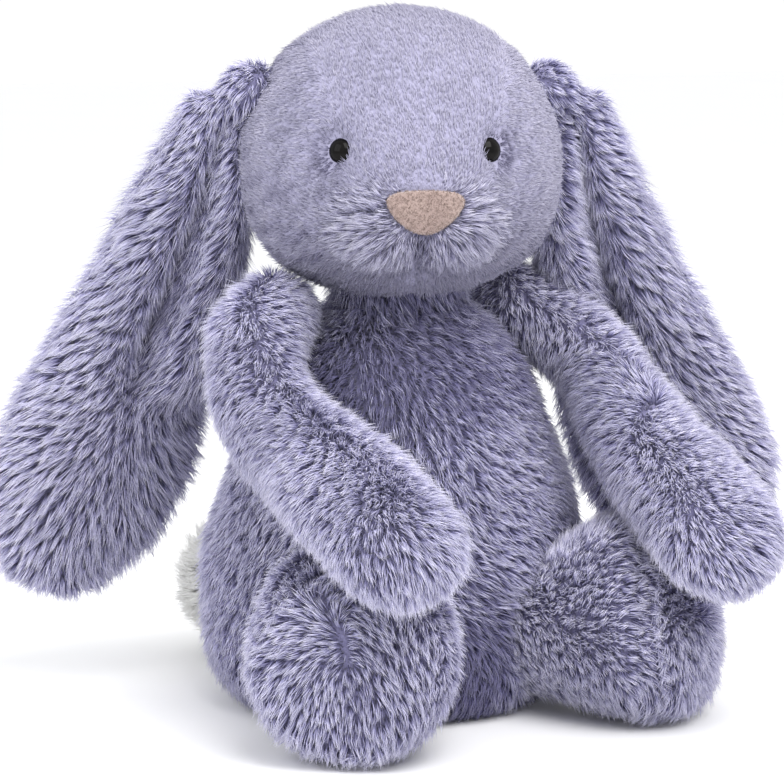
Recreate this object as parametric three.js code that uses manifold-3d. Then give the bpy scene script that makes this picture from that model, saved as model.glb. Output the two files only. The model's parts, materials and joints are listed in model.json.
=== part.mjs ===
// A sitting plush bunny, made as sewn toys are: fabric covers around fibre stuffing, with
// the head, ears, arms, legs and tail sewn on at soft ball-shaped joints.
// Millimetres, +Z up. The bunny faces -Y, its right side is at -X, and it sits on Z = 0
// with the middle of its seat panel at the origin.

import * as THREE from 'three';
import { mergeVertices } from 'three/addons/utils/BufferGeometryUtils.js';
import Module from 'manifold-3d';

const wasm = await Module();
wasm.setup();

// ---------------------------------------------------------------- driving dimensions

const TRUNK = { width: 123, depth: 111, neckHeight: 138, neckRadius: 19 };
const HEAD = { width: 103, depth: 91, height: 94, lift: 39.5, forward: 5, yaw: -23 };
const MUZZLE = { bulge: 9, drop: 15.3, spread: 0.5 };
const EYE = { radius: 4.2, dome: 3, rim: 1, sink: 1.5, sideAngle: 29, lift: 4.5 };
const SHANK = { radius: 1.5, length: 9 };
const WASHER = { radius: 5, thickness: 1.2 };
const NOSE = { width: 23, height: 14, thickness: 1.6, drop: 12.2, sink: 2.2 };
const EAR = { length: 170, width: 64, rootRadius: 9.5, panel: 4, cup: 7, panelGap: 1 };
const ARM = { rootRadius: 14, middleRadius: 15.5, pawRadius: 19.5, pawThickness: 16 };
const LEG = { rootRadius: 19, length: 57, splay: 35, swing: 25, soleTilt: 8 };
const FOOT = { radius: 31, soleThickness: 5 };
const TAIL = { radius: 24, rootRadius: 10, neck: 6, side: -8 };
const SEAT = { width: 76, depth: 70, thickness: 2.5 };
const POUCH = { width: 70, depth: 62, height: 16 };

const COVER = 4; // knitted backing with its pressed pile
const SEAM_GAP = 0.3; // between pieces that are sewn together
const FILL_GAP = 0.9; // between a cover and the stuffing inside it
const TURN_GAP = 0.9; // around each ball-shaped root that turns in its dent
const REST_GAP = 2.5; // between a paw and the foot that it lies over

// ---------------------------------------------------------------- skins and solids

const V = (x, y, z) => new THREE.Vector3(x, y, z);
const radians = THREE.MathUtils.degToRad;
const lerp = THREE.MathUtils.lerp;

// Joins rings of equal length, and a pole at each end, into one closed geometry. The rings
// run counterclockwise around the direction of travel, so that the faces point out.
function loft({ start, rings, end }) {
  const count = rings[0].length;
  const points = [start, ...rings.flat(), end];
  const last = points.length - 1;
  const index = [];
  for (let j = 0; j < count; j += 1) {
    const next = (j + 1) % count;
    index.push(0, 1 + next, 1 + j);
    for (let i = 0; i + 1 < rings.length; i += 1) {
      const near = 1 + i * count;
      const far = near + count;
      index.push(near + j, near + next, far + j);
      index.push(near + next, far + next, far + j);
    }
    index.push(last, last - count + j, last - count + next);
  }
  const geometry = new THREE.BufferGeometry().setFromPoints(points);
  geometry.setIndex(index);
  return geometry;
}

// The same skin moved inwards along its own normals, as the inside of a thick fabric is.
function inset({ start, rings, end }, distance) {
  const count = rings[0].length;
  const at = (i, j) => {
    if (i < 0) return start;
    if (i >= rings.length) return end;
    return rings[i][(j + count) % count];
  };
  const moved = rings.map((ring, i) =>
    ring.map((point, j) => {
      const along = at(i + 1, j).clone().sub(at(i - 1, j));
      const around = at(i, j + 1).clone().sub(at(i, j - 1));
      const normal = around.cross(along).normalize();
      return point.clone().addScaledVector(normal, -distance);
    }),
  );
  const middle = (ring) => ring.reduce((sum, p) => sum.add(p), V(0, 0, 0)).divideScalar(count);
  const inwards = (pole, ring) => {
    const direction = middle(ring).sub(pole).normalize();
    return pole.clone().addScaledVector(direction, distance);
  };
  return {
    start: inwards(start, rings[0]),
    rings: moved,
    end: inwards(end, rings[rings.length - 1]),
  };
}

// A fabric cover of one skin: open at the root from the given ring on, closed at the tip.
function sleeve(skin, openRing, thickness = COVER) {
  const inner = inset(skin, thickness);
  return loft({
    start: inner.end,
    rings: [...inner.rings.slice(openRing).reverse(), ...skin.rings.slice(openRing)],
    end: skin.end,
  });
}

// The stuffing that fills a cover, a small gap clear of its inside.
const filling = (skin, thickness = COVER) => loft(inset(skin, thickness + FILL_GAP));

// Rings of a skin around a centre line. The radii are functions of the share of the way
// along: sideways is measured along the given side direction, and upwards across it.
function tubeSkin(curve, shares, sideways, upwards, side, sides) {
  const rings = shares.map((share) => {
    const centre = curve.getPointAt(share);
    const forward = curve.getTangentAt(share);
    const up = forward.clone().cross(side).normalize();
    const across = up.clone().cross(forward);
    return Array.from({ length: sides }, (_, j) => {
      const angle = (2 * Math.PI * j) / sides;
      return centre
        .clone()
        .addScaledVector(across, Math.cos(angle) * sideways(share))
        .addScaledVector(up, Math.sin(angle) * upwards(share));
    });
  });
  return { start: curve.getPointAt(0), rings, end: curve.getPointAt(1) };
}

function solid(geometry) {
  const bare = geometry.clone().deleteAttribute('normal').deleteAttribute('uv');
  const merged = mergeVertices(bare, 1e-4);
  return new wasm.Manifold(
    new wasm.Mesh({
      numProp: 3,
      vertProperties: merged.getAttribute('position').array,
      triVerts: new Uint32Array(merged.index.array),
    }),
  );
}

function geometryOf(manifold) {
  const mesh = manifold.getMesh();
  const geometry = new THREE.BufferGeometry();
  geometry.setAttribute('position', new THREE.BufferAttribute(mesh.vertProperties, 3));
  geometry.setIndex(new THREE.BufferAttribute(mesh.triVerts, 1));
  geometry.computeVertexNormals();
  return geometry;
}

const carve = (geometry, ...cutters) =>
  geometryOf(cutters.reduce((left, cutter) => left.subtract(solid(cutter)), solid(geometry)));

const DENT_SIDES = 16;
const ball = (radius, centre, sides = DENT_SIDES) =>
  new THREE.SphereGeometry(radius, sides, sides / 2).translate(centre.x, centre.y, centre.z);

function ellipticDisc(width, depth, bottom, top, sides = 24) {
  const disc = new THREE.CylinderGeometry(1, 1, top - bottom, sides);
  disc.rotateX(Math.PI / 2);
  disc.scale(width / 2, depth / 2, 1);
  return disc.translate(0, 0, (bottom + top) / 2);
}

// A dent's radius around a root. Facets cut across a round dent, so it grows by their depth.
const dentRadius = (root) => (root + TURN_GAP) / Math.cos(Math.PI / DENT_SIDES);

// ---------------------------------------------------------------- materials and nodes

const FINISHES = {
  plush: { color: 0x8f8fbd, roughness: 0.95, metalness: 0 },
  velour: { color: 0x9f9dc6, roughness: 0.9, metalness: 0 },
  fibre: { color: 0xf2f1ea, roughness: 1, metalness: 0 },
  suede: { color: 0xc2a09a, roughness: 0.85, metalness: 0 },
  eye: { color: 0x08080a, roughness: 0.08, metalness: 0 },
  washer: { color: 0xe4e4e4, roughness: 0.5, metalness: 0 },
  tail: { color: 0xeeeee8, roughness: 0.95, metalness: 0 },
  ticking: { color: 0xd9d4c6, roughness: 0.9, metalness: 0 },
};

function piece(name, geometry, finish) {
  const mesh = new THREE.Mesh(geometry, new THREE.MeshStandardMaterial(FINISHES[finish]));
  mesh.name = name;
  return mesh;
}

// The two sides of the toy: its right is at -X, its left at +X.
const SIDES = [
  { name: 'right', sign: -1 },
  { name: 'left', sign: 1 },
];

// ---------------------------------------------------------------- trunk

// The trunk's outline, from the floor up to the neck, as shares of its height and width.
const TRUNK_OUTLINE = new THREE.CatmullRomCurve3(
  [
    [0.7, 0],
    [0.9, 0.05],
    [0.985, 0.14],
    [1.0, 0.27],
    [0.955, 0.43],
    [0.84, 0.6],
    [0.7, 0.77],
    [0.53, 0.86],
  ].map(([width, height]) => V(width, 0, height)),
);

const NECK = V(0, -4, TRUNK.neckHeight);

// How far the trunk's outline reaches from its axis at a height, as a share of its width.
function trunkShare(height) {
  const wanted = height / TRUNK.neckHeight;
  let low = 0;
  let high = 1;
  while (high - low > 1e-4) {
    const middle = (low + high) / 2;
    if (TRUNK_OUTLINE.getPoint(middle).z < wanted) low = middle;
    else high = middle;
  }
  return TRUNK_OUTLINE.getPoint(low).x;
}

// The distance from the trunk's axis to its skin, in the direction of an angle from the front.
function trunkReach(height, angle) {
  const share = trunkShare(height);
  const across = (Math.sin(angle) * 2) / (TRUNK.width * share);
  const ahead = (Math.cos(angle) * 2) / (TRUNK.depth * share);
  return 1 / Math.hypot(across, ahead);
}

const TRUNK_SIDES = 20;

function trunkSkin() {
  const ring = (width, depth, centreY, height) =>
    Array.from({ length: TRUNK_SIDES }, (_, j) => {
      const angle = (2 * Math.PI * j) / TRUNK_SIDES;
      return V((Math.cos(angle) * width) / 2, centreY + (Math.sin(angle) * depth) / 2, height);
    });
  const rings = [];
  const trunkRings = 8;
  for (let i = 0; i <= trunkRings; i += 1) {
    const share = TRUNK_OUTLINE.getPoint(i / trunkRings);
    const height = share.z * TRUNK.neckHeight;
    const lean = (NECK.y * i) / trunkRings;
    rings.push(ring(TRUNK.width * share.x, TRUNK.depth * share.x, lean, height));
  }
  const neckAngles = [-28, 0, 30, 60].map(radians);
  neckAngles.forEach((angle) => {
    const across = 2 * TRUNK.neckRadius * Math.cos(angle);
    rings.push(ring(across, across, NECK.y, NECK.z + TRUNK.neckRadius * Math.sin(angle)));
  });
  return { start: V(0, 0, 0), rings, end: V(0, NECK.y, NECK.z + TRUNK.neckRadius) };
}

// ---------------------------------------------------------------- where the limbs join

// A squatter trunk is wider at the height of the elbow and leans out further on the way
// there, so the room left for the arms goes with the square of its spread.
const TRUNK_SPREAD = (TRUNK.width / TRUNK.neckHeight) ** 2;

// An arm's root ball is sunk into the trunk's side. It lies below the neck by a share of the
// head's width, so that a wider head still passes over it.
const SHOULDER = { dropShare: 0.0938, forward: 1, sink: 4 };
const shoulderOf = (sign) => {
  const height = TRUNK.neckHeight - HEAD.width * SHOULDER.dropShare;
  const reach = (trunkShare(height) * TRUNK.width) / 2;
  return V(sign * (reach + ARM.rootRadius - SHOULDER.sink), -SHOULDER.forward, height);
};

// A leg's root ball sits low in the trunk's front, clear of the seat panel.
const HIP = { acrossShare: 0.205, aheadShare: 0.26, clearance: 4 };
const HIP_HEIGHT = LEG.rootRadius + TURN_GAP + SEAT.thickness + HIP.clearance;
const hipOf = (sign) =>
  V(sign * TRUNK.width * HIP.acrossShare, -TRUNK.depth * HIP.aheadShare, HIP_HEIGHT);

const TAIL_LIFT = 1.5; // the tail ball hangs this far above what the toy sits on
const TAIL_ROOT_SINK = 1; // how far the middle of the tail's root lies inside the back
const TAIL_ROOT = V(TAIL.side, TRUNK.depth / 2 - TAIL_ROOT_SINK, TAIL.radius + TAIL_LIFT);

const HEAD_CENTRE = V(0, -HEAD.forward, HEAD.lift); // from the neck, in the head's frame

// An ear's root sits on the head's upper side, mirrored across the head's own middle.
const EAR_ROOT = { latitude: 27, acrossShare: 0.9556, behind: 2 };
const earRootOf = (sign) => {
  const angle = radians(EAR_ROOT.latitude);
  const across = (HEAD.width / 2) * EAR_ROOT.acrossShare;
  const up = (HEAD.height / 2) * Math.sin(angle);
  return V(sign * across, HEAD_CENTRE.y + EAR_ROOT.behind, HEAD_CENTRE.z + up);
};

// ---------------------------------------------------------------- head

const HEAD_SIDES = 22;

// The rise at which the head's skin, before its muzzle, lies a drop below its middle.
const riseOfDrop = (drop) => -Math.asin(drop / (HEAD.height / 2));

// A direction on the head: the turn is zero at the face and the rise is zero at eye level.
function headPoint(turn, rise) {
  const level = Math.cos(rise);
  const direction = V(Math.sin(turn) * level, -Math.cos(turn) * level, Math.sin(rise));
  const muzzleRise = riseOfDrop(MUZZLE.drop);
  const muzzleAim = V(0, -Math.cos(muzzleRise), Math.sin(muzzleRise));
  const away = direction.angleTo(muzzleAim) / MUZZLE.spread;
  const point = V(
    (direction.x * HEAD.width) / 2,
    (direction.y * HEAD.depth) / 2,
    (direction.z * HEAD.height) / 2,
  );
  return point.addScaledVector(muzzleAim, MUZZLE.bulge * Math.exp(-away * away)).add(HEAD_CENTRE);
}

function headSkin() {
  const rings = [];
  const ringCount = 11;
  for (let i = 1; i < ringCount; i += 1) {
    const rise = -Math.PI / 2 + (Math.PI * i) / ringCount;
    rings.push(
      Array.from({ length: HEAD_SIDES }, (_, j) => headPoint((2 * Math.PI * j) / HEAD_SIDES, rise)),
    );
  }
  return { start: headPoint(0, -Math.PI / 2), rings, end: headPoint(0, Math.PI / 2) };
}

// A frame on the head's skin: its Z axis points straight out of the skin at that place.
function headPlace(turn, rise) {
  const step = 0.02;
  const point = headPoint(turn, rise);
  const across = headPoint(turn + step, rise).sub(headPoint(turn - step, rise)).normalize();
  const up = headPoint(turn, rise + step).sub(headPoint(turn, rise - step)).normalize();
  const out = across.clone().cross(up).normalize();
  const upright = out.clone().cross(across).normalize();
  const basis = new THREE.Matrix4().makeBasis(across, upright, out);
  return { point, turn: new THREE.Quaternion().setFromRotationMatrix(basis), out };
}

const placed = (geometry, place, depth = 0) =>
  geometry
    .clone()
    .applyQuaternion(place.turn)
    .translate(...place.point.clone().addScaledVector(place.out, depth));

// A safety eye: a glossy dome on a shank that passes through the cover.
function eyeGeometry() {
  const outline = [
    new THREE.Vector2(0, -SHANK.length),
    new THREE.Vector2(SHANK.radius, -SHANK.length),
    new THREE.Vector2(SHANK.radius, -EYE.rim),
    new THREE.Vector2(EYE.radius, -EYE.rim),
  ];
  const domeSteps = 5;
  for (let i = 0; i <= domeSteps; i += 1) {
    const angle = (Math.PI / 2) * (i / domeSteps);
    outline.push(new THREE.Vector2(EYE.radius * Math.cos(angle), EYE.dome * Math.sin(angle)));
  }
  outline[outline.length - 1].x = 0;
  const geometry = new THREE.LatheGeometry(outline, 16);
  return geometry.rotateX(Math.PI / 2);
}

const eyePlaceOf = (sign) =>
  headPlace(sign * radians(EYE.sideAngle), Math.asin(EYE.lift / (HEAD.height / 2)));

const WASHER_DEPTH = COVER + SEAM_GAP;
const CUT_DEPTH = 12; // long enough to cut right out of a cover

// The pocket that an eye's rim sits in, with the bore for its shank.
function eyeSeat() {
  const rim = EYE.radius + SEAM_GAP;
  const pocket = new THREE.CylinderGeometry(rim, rim, CUT_DEPTH, 16).rotateX(Math.PI / 2);
  pocket.translate(0, 0, CUT_DEPTH / 2 - EYE.rim - EYE.sink - SEAM_GAP);
  const shank = SHANK.radius + SEAM_GAP;
  const bore = new THREE.CylinderGeometry(shank, shank, 2 * SHANK.length, 10);
  return geometryOf(solid(pocket).add(solid(bore.rotateX(Math.PI / 2))));
}

// The room that a washer takes behind the cover.
function washerRoom() {
  const radius = WASHER.radius + SEAM_GAP;
  const room = new THREE.CylinderGeometry(radius, radius, CUT_DEPTH, 16);
  return room.rotateX(Math.PI / 2).translate(0, 0, SEAM_GAP - CUT_DEPTH / 2);
}

function washerGeometry() {
  const bore = SHANK.radius + SEAM_GAP;
  const outline = [
    new THREE.Vector2(bore, 0),
    new THREE.Vector2(WASHER.radius, 0),
    new THREE.Vector2(WASHER.radius, WASHER.thickness),
    new THREE.Vector2(bore, WASHER.thickness),
    new THREE.Vector2(bore, 0),
  ];
  return new THREE.LatheGeometry(outline, 12).rotateX(Math.PI / 2);
}

// The nose is a rounded triangle of suede, widest at its top, bent over the muzzle.
function nosePatch(grow, thickness) {
  const half = NOSE.width / 2 + grow;
  const top = NOSE.height / 2 + grow;
  const bottom = -NOSE.height / 2 - grow;
  const shape = new THREE.Shape();
  shape.moveTo(0, top);
  shape.bezierCurveTo(half * 0.62, top, half * 1.02, top * 0.92, half, top * 0.45);
  shape.bezierCurveTo(half * 0.95, -top * 0.1, half * 0.42, bottom, 0, bottom);
  shape.bezierCurveTo(-half * 0.42, bottom, -half * 0.95, -top * 0.1, -half, top * 0.45);
  shape.bezierCurveTo(-half * 1.02, top * 0.92, -half * 0.62, top, 0, top);
  const extrusion = { depth: thickness, bevelEnabled: false, curveSegments: 6 };
  return new THREE.ExtrudeGeometry(shape, extrusion);
}

const nosePlace = () => headPlace(0, riseOfDrop(NOSE.drop));

function buildHead() {
  const skin = headSkin();
  const neckDent = ball(dentRadius(TRUNK.neckRadius), V(0, 0, 0));
  const earDents = SIDES.map(({ sign }) => ball(dentRadius(EAR.rootRadius), earRootOf(sign)));
  const eyePlaces = SIDES.map(({ sign }) => eyePlaceOf(sign));
  const eyeHoles = eyePlaces.map((place) => placed(eyeSeat(), place));
  const washerRooms = eyePlaces.map((place) => placed(washerRoom(), place, -WASHER_DEPTH));
  const noseBed = placed(nosePatch(SEAM_GAP, CUT_DEPTH), nosePlace(), -NOSE.sink - SEAM_GAP);
  const sockets = [neckDent, ...earDents, ...washerRooms];
  const head = new THREE.Group();
  head.position.copy(NECK);
  head.rotation.z = radians(HEAD.yaw);
  head.add(
    piece('head_cover', carve(sleeve(skin, 0), ...sockets, ...eyeHoles, noseBed), 'velour'),
    piece('head_stuffing', carve(filling(skin), ...sockets), 'fibre'),
    piece('nose_patch', placed(nosePatch(0, NOSE.thickness), nosePlace(), -NOSE.sink), 'suede'),
  );
  SIDES.forEach(({ name }, i) => {
    const place = eyePlaces[i];
    const washer = placed(washerGeometry(), place, -WASHER_DEPTH - WASHER.thickness);
    head.add(
      piece(`eye_${name}`, placed(eyeGeometry(), place, -EYE.sink), 'eye'),
      piece(`eye_washer_${name}`, washer, 'washer'),
    );
  });
  SIDES.forEach(({ name, sign }) => head.add(buildEar(name, sign)));
  return head;
}

// ---------------------------------------------------------------- ears

// An ear hangs from its root over the side of the head, out and down. Each station is a
// share of the ear's length, with its place as shares of that length, the share of the
// full width, how strongly the ear is cupped, and how far its inner edge is turned back. A
// thicker arm pushes the hanging part back by its share of the arm's radius.
const EAR_STATIONS = [
  { out: 0.0, back: 0.0, past: 0, down: 0.0, width: 0.22, cup: 0.2, yaw: 0 },
  { out: 0.05, back: 0.014, past: 0.2, down: 0.04, width: 0.28, cup: 0.5, yaw: 8 },
  { out: 0.072, back: 0.011, past: 0.6, down: 0.12, width: 0.36, cup: 0.7, yaw: 14 },
  { out: 0.098, back: 0.034, past: 1, down: 0.24, width: 0.51, cup: 0.8, yaw: 20 },
  { out: 0.139, back: 0.072, past: 1, down: 0.38, width: 0.67, cup: 0.85, yaw: 24 },
  { out: 0.193, back: 0.086, past: 1, down: 0.53, width: 0.83, cup: 0.85, yaw: 22 },
  { out: 0.251, back: 0.09, past: 1, down: 0.68, width: 0.95, cup: 0.8, yaw: 18 },
  { out: 0.318, back: 0.086, past: 1, down: 0.81, width: 0.87, cup: 0.6, yaw: 14 },
  { out: 0.37, back: 0.09, past: 1, down: 0.91, width: 0.55, cup: 0.3, yaw: 10 },
  { out: 0.392, back: 0.08, past: 1, down: 0.955, width: 0.26, cup: 0.1, yaw: 10 },
];

const EAR_EDGE = 0.97; // each edge is drawn in a little, so that the two panels' rims meet

// One panel of an ear: a slab between two depths behind the ear's front face.
function earPanel(sign, front, back, firstStation) {
  const across = 7;
  const last = EAR_STATIONS.length - 1;
  const placeOf = (s) => {
    const place = V(sign * s.out, s.back, -s.down).multiplyScalar(EAR.length);
    return place.add(V(0, s.past * ARM.rootRadius, 0));
  };
  const allRings = EAR_STATIONS.map((station, i) => {
    const here = placeOf(station);
    const before = placeOf(EAR_STATIONS[Math.max(i - 1, 0)]);
    const after = placeOf(EAR_STATIONS[Math.min(i + 1, last)]);
    const down = after.sub(before).normalize();
    const yaw = radians(station.yaw);
    const outward = V(sign * Math.cos(yaw), -Math.sin(yaw), 0);
    outward.addScaledVector(down, -outward.dot(down)).normalize();
    const behind = outward.clone().cross(down).multiplyScalar(-sign).normalize();
    const halfWidth = (EAR.width * station.width) / 2;
    const point = (share, depth) =>
      here
        .clone()
        .addScaledVector(outward, halfWidth * share)
        .addScaledVector(behind, depth - EAR.cup * station.cup * share * share);
    const shares = Array.from({ length: across + 1 }, (_, k) => EAR_EDGE * ((2 * k) / across - 1));
    const ring = shares.map((share) => point(share, front));
    ring.push(...shares.reverse().map((share) => point(share, back)));
    return sign < 0 ? ring.reverse() : ring;
  });
  const rings = allRings.slice(firstStation);
  const middle = (ring) => ring.reduce((sum, p) => sum.add(p), V(0, 0, 0)).divideScalar(ring.length);
  return loft({ start: middle(rings[0]), rings, end: middle(rings[rings.length - 1]) });
}

function buildEar(name, sign) {
  const half = EAR.panelGap / 2;
  const liningStart = 1;
  const rootBall = ball(EAR.rootRadius, V(0, 0, 0), 14);
  const backPanel = solid(earPanel(sign, half, half + EAR.panel, 0)).add(solid(rootBall));
  const aroundRoot = ball(EAR.rootRadius + SEAM_GAP, V(0, 0, 0), 14);
  const lining = carve(earPanel(sign, -half - EAR.panel, -half, liningStart), aroundRoot);
  const ear = new THREE.Group();
  ear.position.copy(earRootOf(sign));
  ear.add(
    piece(`ear_${name}_back`, geometryOf(backPanel), 'plush'),
    piece(`ear_${name}_lining`, lining, 'plush'),
  );
  return ear;
}

// ---------------------------------------------------------------- legs

const FOOT_CLEARANCE = 1; // under the foot, taken up by its pile

// The sole's middle in a leg's frame, where -Y runs out of the hip.
const SOLE_CENTRE = V(0, -LEG.length, FOOT.radius + FOOT_CLEARANCE - HIP_HEIGHT);

function legSkin() {
  const stations = [
    { along: 0, radius: 0 },
    { along: 0.32, radius: 0.2 },
    { along: 0.55, radius: 0.52 },
    { along: 0.75, radius: 0.82 },
    { along: 0.9, radius: 0.97 },
    { along: 0.985, radius: 1 },
  ];
  const sides = 16;
  const ring = (centre, radius, tilt) =>
    Array.from({ length: sides }, (_, j) => {
      const angle = (2 * Math.PI * j) / sides;
      const offset = V(Math.cos(angle) * radius, 0, Math.sin(angle) * radius);
      return centre.clone().add(offset.applyAxisAngle(V(1, 0, 0), tilt));
    });
  const rings = [];
  const rootAngles = [-60, -30].map(radians);
  rootAngles.forEach((angle) => {
    const centre = V(0, -LEG.rootRadius * Math.sin(angle), 0);
    rings.push(ring(centre, LEG.rootRadius * Math.cos(angle), 0));
  });
  stations.forEach(({ along, radius }) => {
    const centre = SOLE_CENTRE.clone().multiplyScalar(along);
    const tilt = -radians(LEG.soleTilt) * along;
    rings.push(ring(centre, lerp(LEG.rootRadius, FOOT.radius, radius), tilt));
  });
  return { start: V(0, LEG.rootRadius, 0), rings, end: SOLE_CENTRE.clone() };
}

// The sole is a round pillow sewn over the open end of the leg. Its outline runs from the
// middle of its back round its rolled edge to the middle of its face, as shares of its
// radius and thickness.
const SOLE_OUTLINE = [
  [0, 0],
  [0.955, 0],
  [0.985, 0.3],
  [0.926, 0.66],
  [0.749, 0.92],
  [0.394, 1],
  [0, 1],
];

function soleGeometry() {
  const outline = SOLE_OUTLINE.map(
    ([across, depth]) => new THREE.Vector2(FOOT.radius * across, FOOT.soleThickness * depth),
  );
  const sole = new THREE.LatheGeometry(outline, 18);
  sole.rotateX(Math.PI);
  sole.rotateX(-radians(LEG.soleTilt));
  const forward = V(0, -1, 0).applyAxisAngle(V(1, 0, 0), -radians(LEG.soleTilt));
  const centre = SOLE_CENTRE.clone().addScaledVector(forward, SEAM_GAP);
  return sole.translate(centre.x, centre.y, centre.z);
}

function buildLeg(name, sign) {
  const skin = legSkin();
  const leg = new THREE.Group();
  leg.position.copy(hipOf(sign));
  leg.rotation.z = sign * radians(LEG.splay);
  leg.add(
    piece(`leg_${name}_cover`, sleeve(skin, 0), 'plush'),
    piece(`leg_${name}_stuffing`, filling(skin), 'fibre'),
    piece(`foot_${name}_sole`, soleGeometry(), 'plush'),
  );
  return leg;
}

// ---------------------------------------------------------------- arms

// The middle of a foot's sole in the trunk's frame.
const footOf = (sign) =>
  SOLE_CENTRE.clone().applyAxisAngle(V(0, 0, 1), sign * radians(LEG.splay)).add(hipOf(sign));

// How each arm is laid: where its elbow passes the trunk, as an angle from the front, a share
// of the trunk's height and a gap that widens with the trunk's spread, and where its paw hangs
// over the front of the foot: a distance across from the sole's middle, a share of the sole's
// radius ahead of it, and a drop below where it would clear the sole.
const ARM_LAY = {
  right: {
    elbowAngle: 62,
    elbowShare: 0.703,
    gapForSpread: 7.55,
    pawAcross: 3,
    aheadShare: 0.71,
    pawDrop: 58.5,
  },
  left: {
    elbowAngle: 48,
    elbowShare: 0.667,
    gapForSpread: 18.88,
    pawAcross: 2,
    aheadShare: 0.839,
    pawDrop: 64.5,
  },
};

// How an arm leaves its shoulder and comes to its paw: shares of the way, and offsets that
// round its bend outwards and lift its wrist.
const UPPER_BEND = { share: 0.55, outForSpread: 13.846, aheadForSpread: 3.777, up: 1 };
const WRIST_BEND = { share: 0.62, up: 2 };
const FOOT_ROOM = 1.5; // a larger sole lifts the paw by this much more of the sole's radius

function armCurve(name, sign) {
  const lay = ARM_LAY[name];
  const shoulder = shoulderOf(sign);
  const angle = radians(lay.elbowAngle);
  const elbowHeight = TRUNK.neckHeight * lay.elbowShare;
  const reach = trunkReach(elbowHeight, angle) + ARM.middleRadius + lay.gapForSpread * TRUNK_SPREAD;
  const elbow = V(sign * Math.sin(angle) * reach, -Math.cos(angle) * reach, elbowHeight);
  const foot = footOf(sign);
  const soleTop = foot.z + FOOT.radius * (1 + FOOT_ROOM);
  const pawHeight = soleTop + ARM.pawThickness + REST_GAP - lay.pawDrop;
  const paw = V(foot.x - sign * lay.pawAcross, foot.y - lay.aheadShare * FOOT.radius, pawHeight);
  const out = UPPER_BEND.outForSpread * TRUNK_SPREAD;
  const ahead = UPPER_BEND.aheadForSpread * TRUNK_SPREAD;
  const bulge = V(sign * out, -ahead, UPPER_BEND.up);
  const upper = elbow.clone().lerp(shoulder, UPPER_BEND.share).add(bulge);
  const wrist = elbow.clone().lerp(paw, WRIST_BEND.share).add(V(0, 0, WRIST_BEND.up));
  const tip = paw.clone().addScaledVector(paw.clone().sub(wrist).normalize(), ARM.pawRadius);
  const route = [shoulder, upper, elbow, wrist, paw, tip];
  const points = route.map((point) => point.clone().sub(shoulder));
  return new THREE.CatmullRomCurve3(points, false, 'centripetal');
}

function armSkin(name, sign) {
  const curve = armCurve(name, sign);
  const capStart = 1 - ARM.pawRadius / curve.getLength();
  const rounding = (share) => {
    const into = Math.max(0, (share - capStart) / (1 - capStart));
    return Math.sqrt(Math.max(0, 1 - into * into));
  };
  const radiusTo = (pawRadius) => (share) => {
    const paw = THREE.MathUtils.smoothstep(share, 0.45, 0.85);
    const middle = lerp(ARM.rootRadius, ARM.middleRadius, Math.min(1, share / 0.4));
    return lerp(middle, pawRadius, paw) * rounding(share);
  };
  const wide = radiusTo(ARM.pawRadius);
  const thick = radiusTo(ARM.pawThickness);
  const bodyShares = [0.0, 0.14, 0.28, 0.42, 0.56, 0.7, capStart];
  const capShares = [0.45, 0.85].map((into) => lerp(capStart, 1, into));
  const tube = tubeSkin(curve, [...bodyShares, ...capShares], wide, thick, V(1, 0, 0), 14);
  const backwards = curve.getTangentAt(0).negate();
  const rootAngles = [60, 30].map(radians);
  const rootRings = rootAngles.map((angle) => {
    const behind = backwards.clone().multiplyScalar(ARM.rootRadius * Math.sin(angle));
    return tube.rings[0].map((point) => point.clone().multiplyScalar(Math.cos(angle)).add(behind));
  });
  return {
    start: backwards.clone().multiplyScalar(ARM.rootRadius),
    rings: [...rootRings, ...tube.rings],
    end: tube.end,
  };
}

function buildArm(name, sign) {
  const skin = armSkin(name, sign);
  const arm = new THREE.Group();
  arm.position.copy(shoulderOf(sign));
  arm.add(
    piece(`arm_${name}_cover`, sleeve(skin, 0), 'plush'),
    piece(`arm_${name}_stuffing`, filling(skin), 'fibre'),
  );
  return arm;
}

// ---------------------------------------------------------------- tail

function tailSkin() {
  const sides = 14;
  const centre = TAIL.radius + TAIL.neck;
  const ring = (along, radius) =>
    Array.from({ length: sides }, (_, j) => {
      const angle = (-2 * Math.PI * j) / sides;
      return V(Math.cos(angle) * radius, along, Math.sin(angle) * radius);
    });
  const rings = [-60, -30, 0].map((degrees) => {
    const angle = radians(degrees);
    return ring(TAIL.rootRadius * Math.sin(angle), TAIL.rootRadius * Math.cos(angle));
  });
  for (let degrees = -50; degrees < 80; degrees += 25) {
    const angle = radians(degrees);
    rings.push(ring(centre + TAIL.radius * Math.sin(angle), TAIL.radius * Math.cos(angle)));
  }
  return { start: V(0, -TAIL.rootRadius, 0), rings, end: V(0, centre + TAIL.radius, 0) };
}

function buildTail() {
  const skin = tailSkin();
  const tail = new THREE.Group();
  tail.position.copy(TAIL_ROOT);
  tail.add(
    piece('tail_cover', sleeve(skin, 0), 'tail'),
    piece('tail_stuffing', filling(skin), 'fibre'),
  );
  return tail;
}

// ---------------------------------------------------------------- trunk pieces

// The room that a leg needs in the trunk as it swings outwards from its rest: a plain cone
// around the leg, at three places of the swing.
function legDents(sign) {
  const sides = 12;
  const facetDepth = LEG.rootRadius * (1 / Math.cos(Math.PI / sides) - 1);
  const grow = TURN_GAP + facetDepth;
  const cone = new THREE.CylinderGeometry(
    LEG.rootRadius + grow,
    FOOT.radius + grow,
    LEG.length,
    sides,
  );
  const room = cone.translate(0, -LEG.length / 2, 0).rotateX(-Math.atan2(SOLE_CENTRE.z, LEG.length));
  return [0, 0.5, 1].map((share) => {
    const turned = room.clone().rotateZ(sign * radians(LEG.splay + share * LEG.swing));
    return turned.translate(...hipOf(sign));
  });
}

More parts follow.
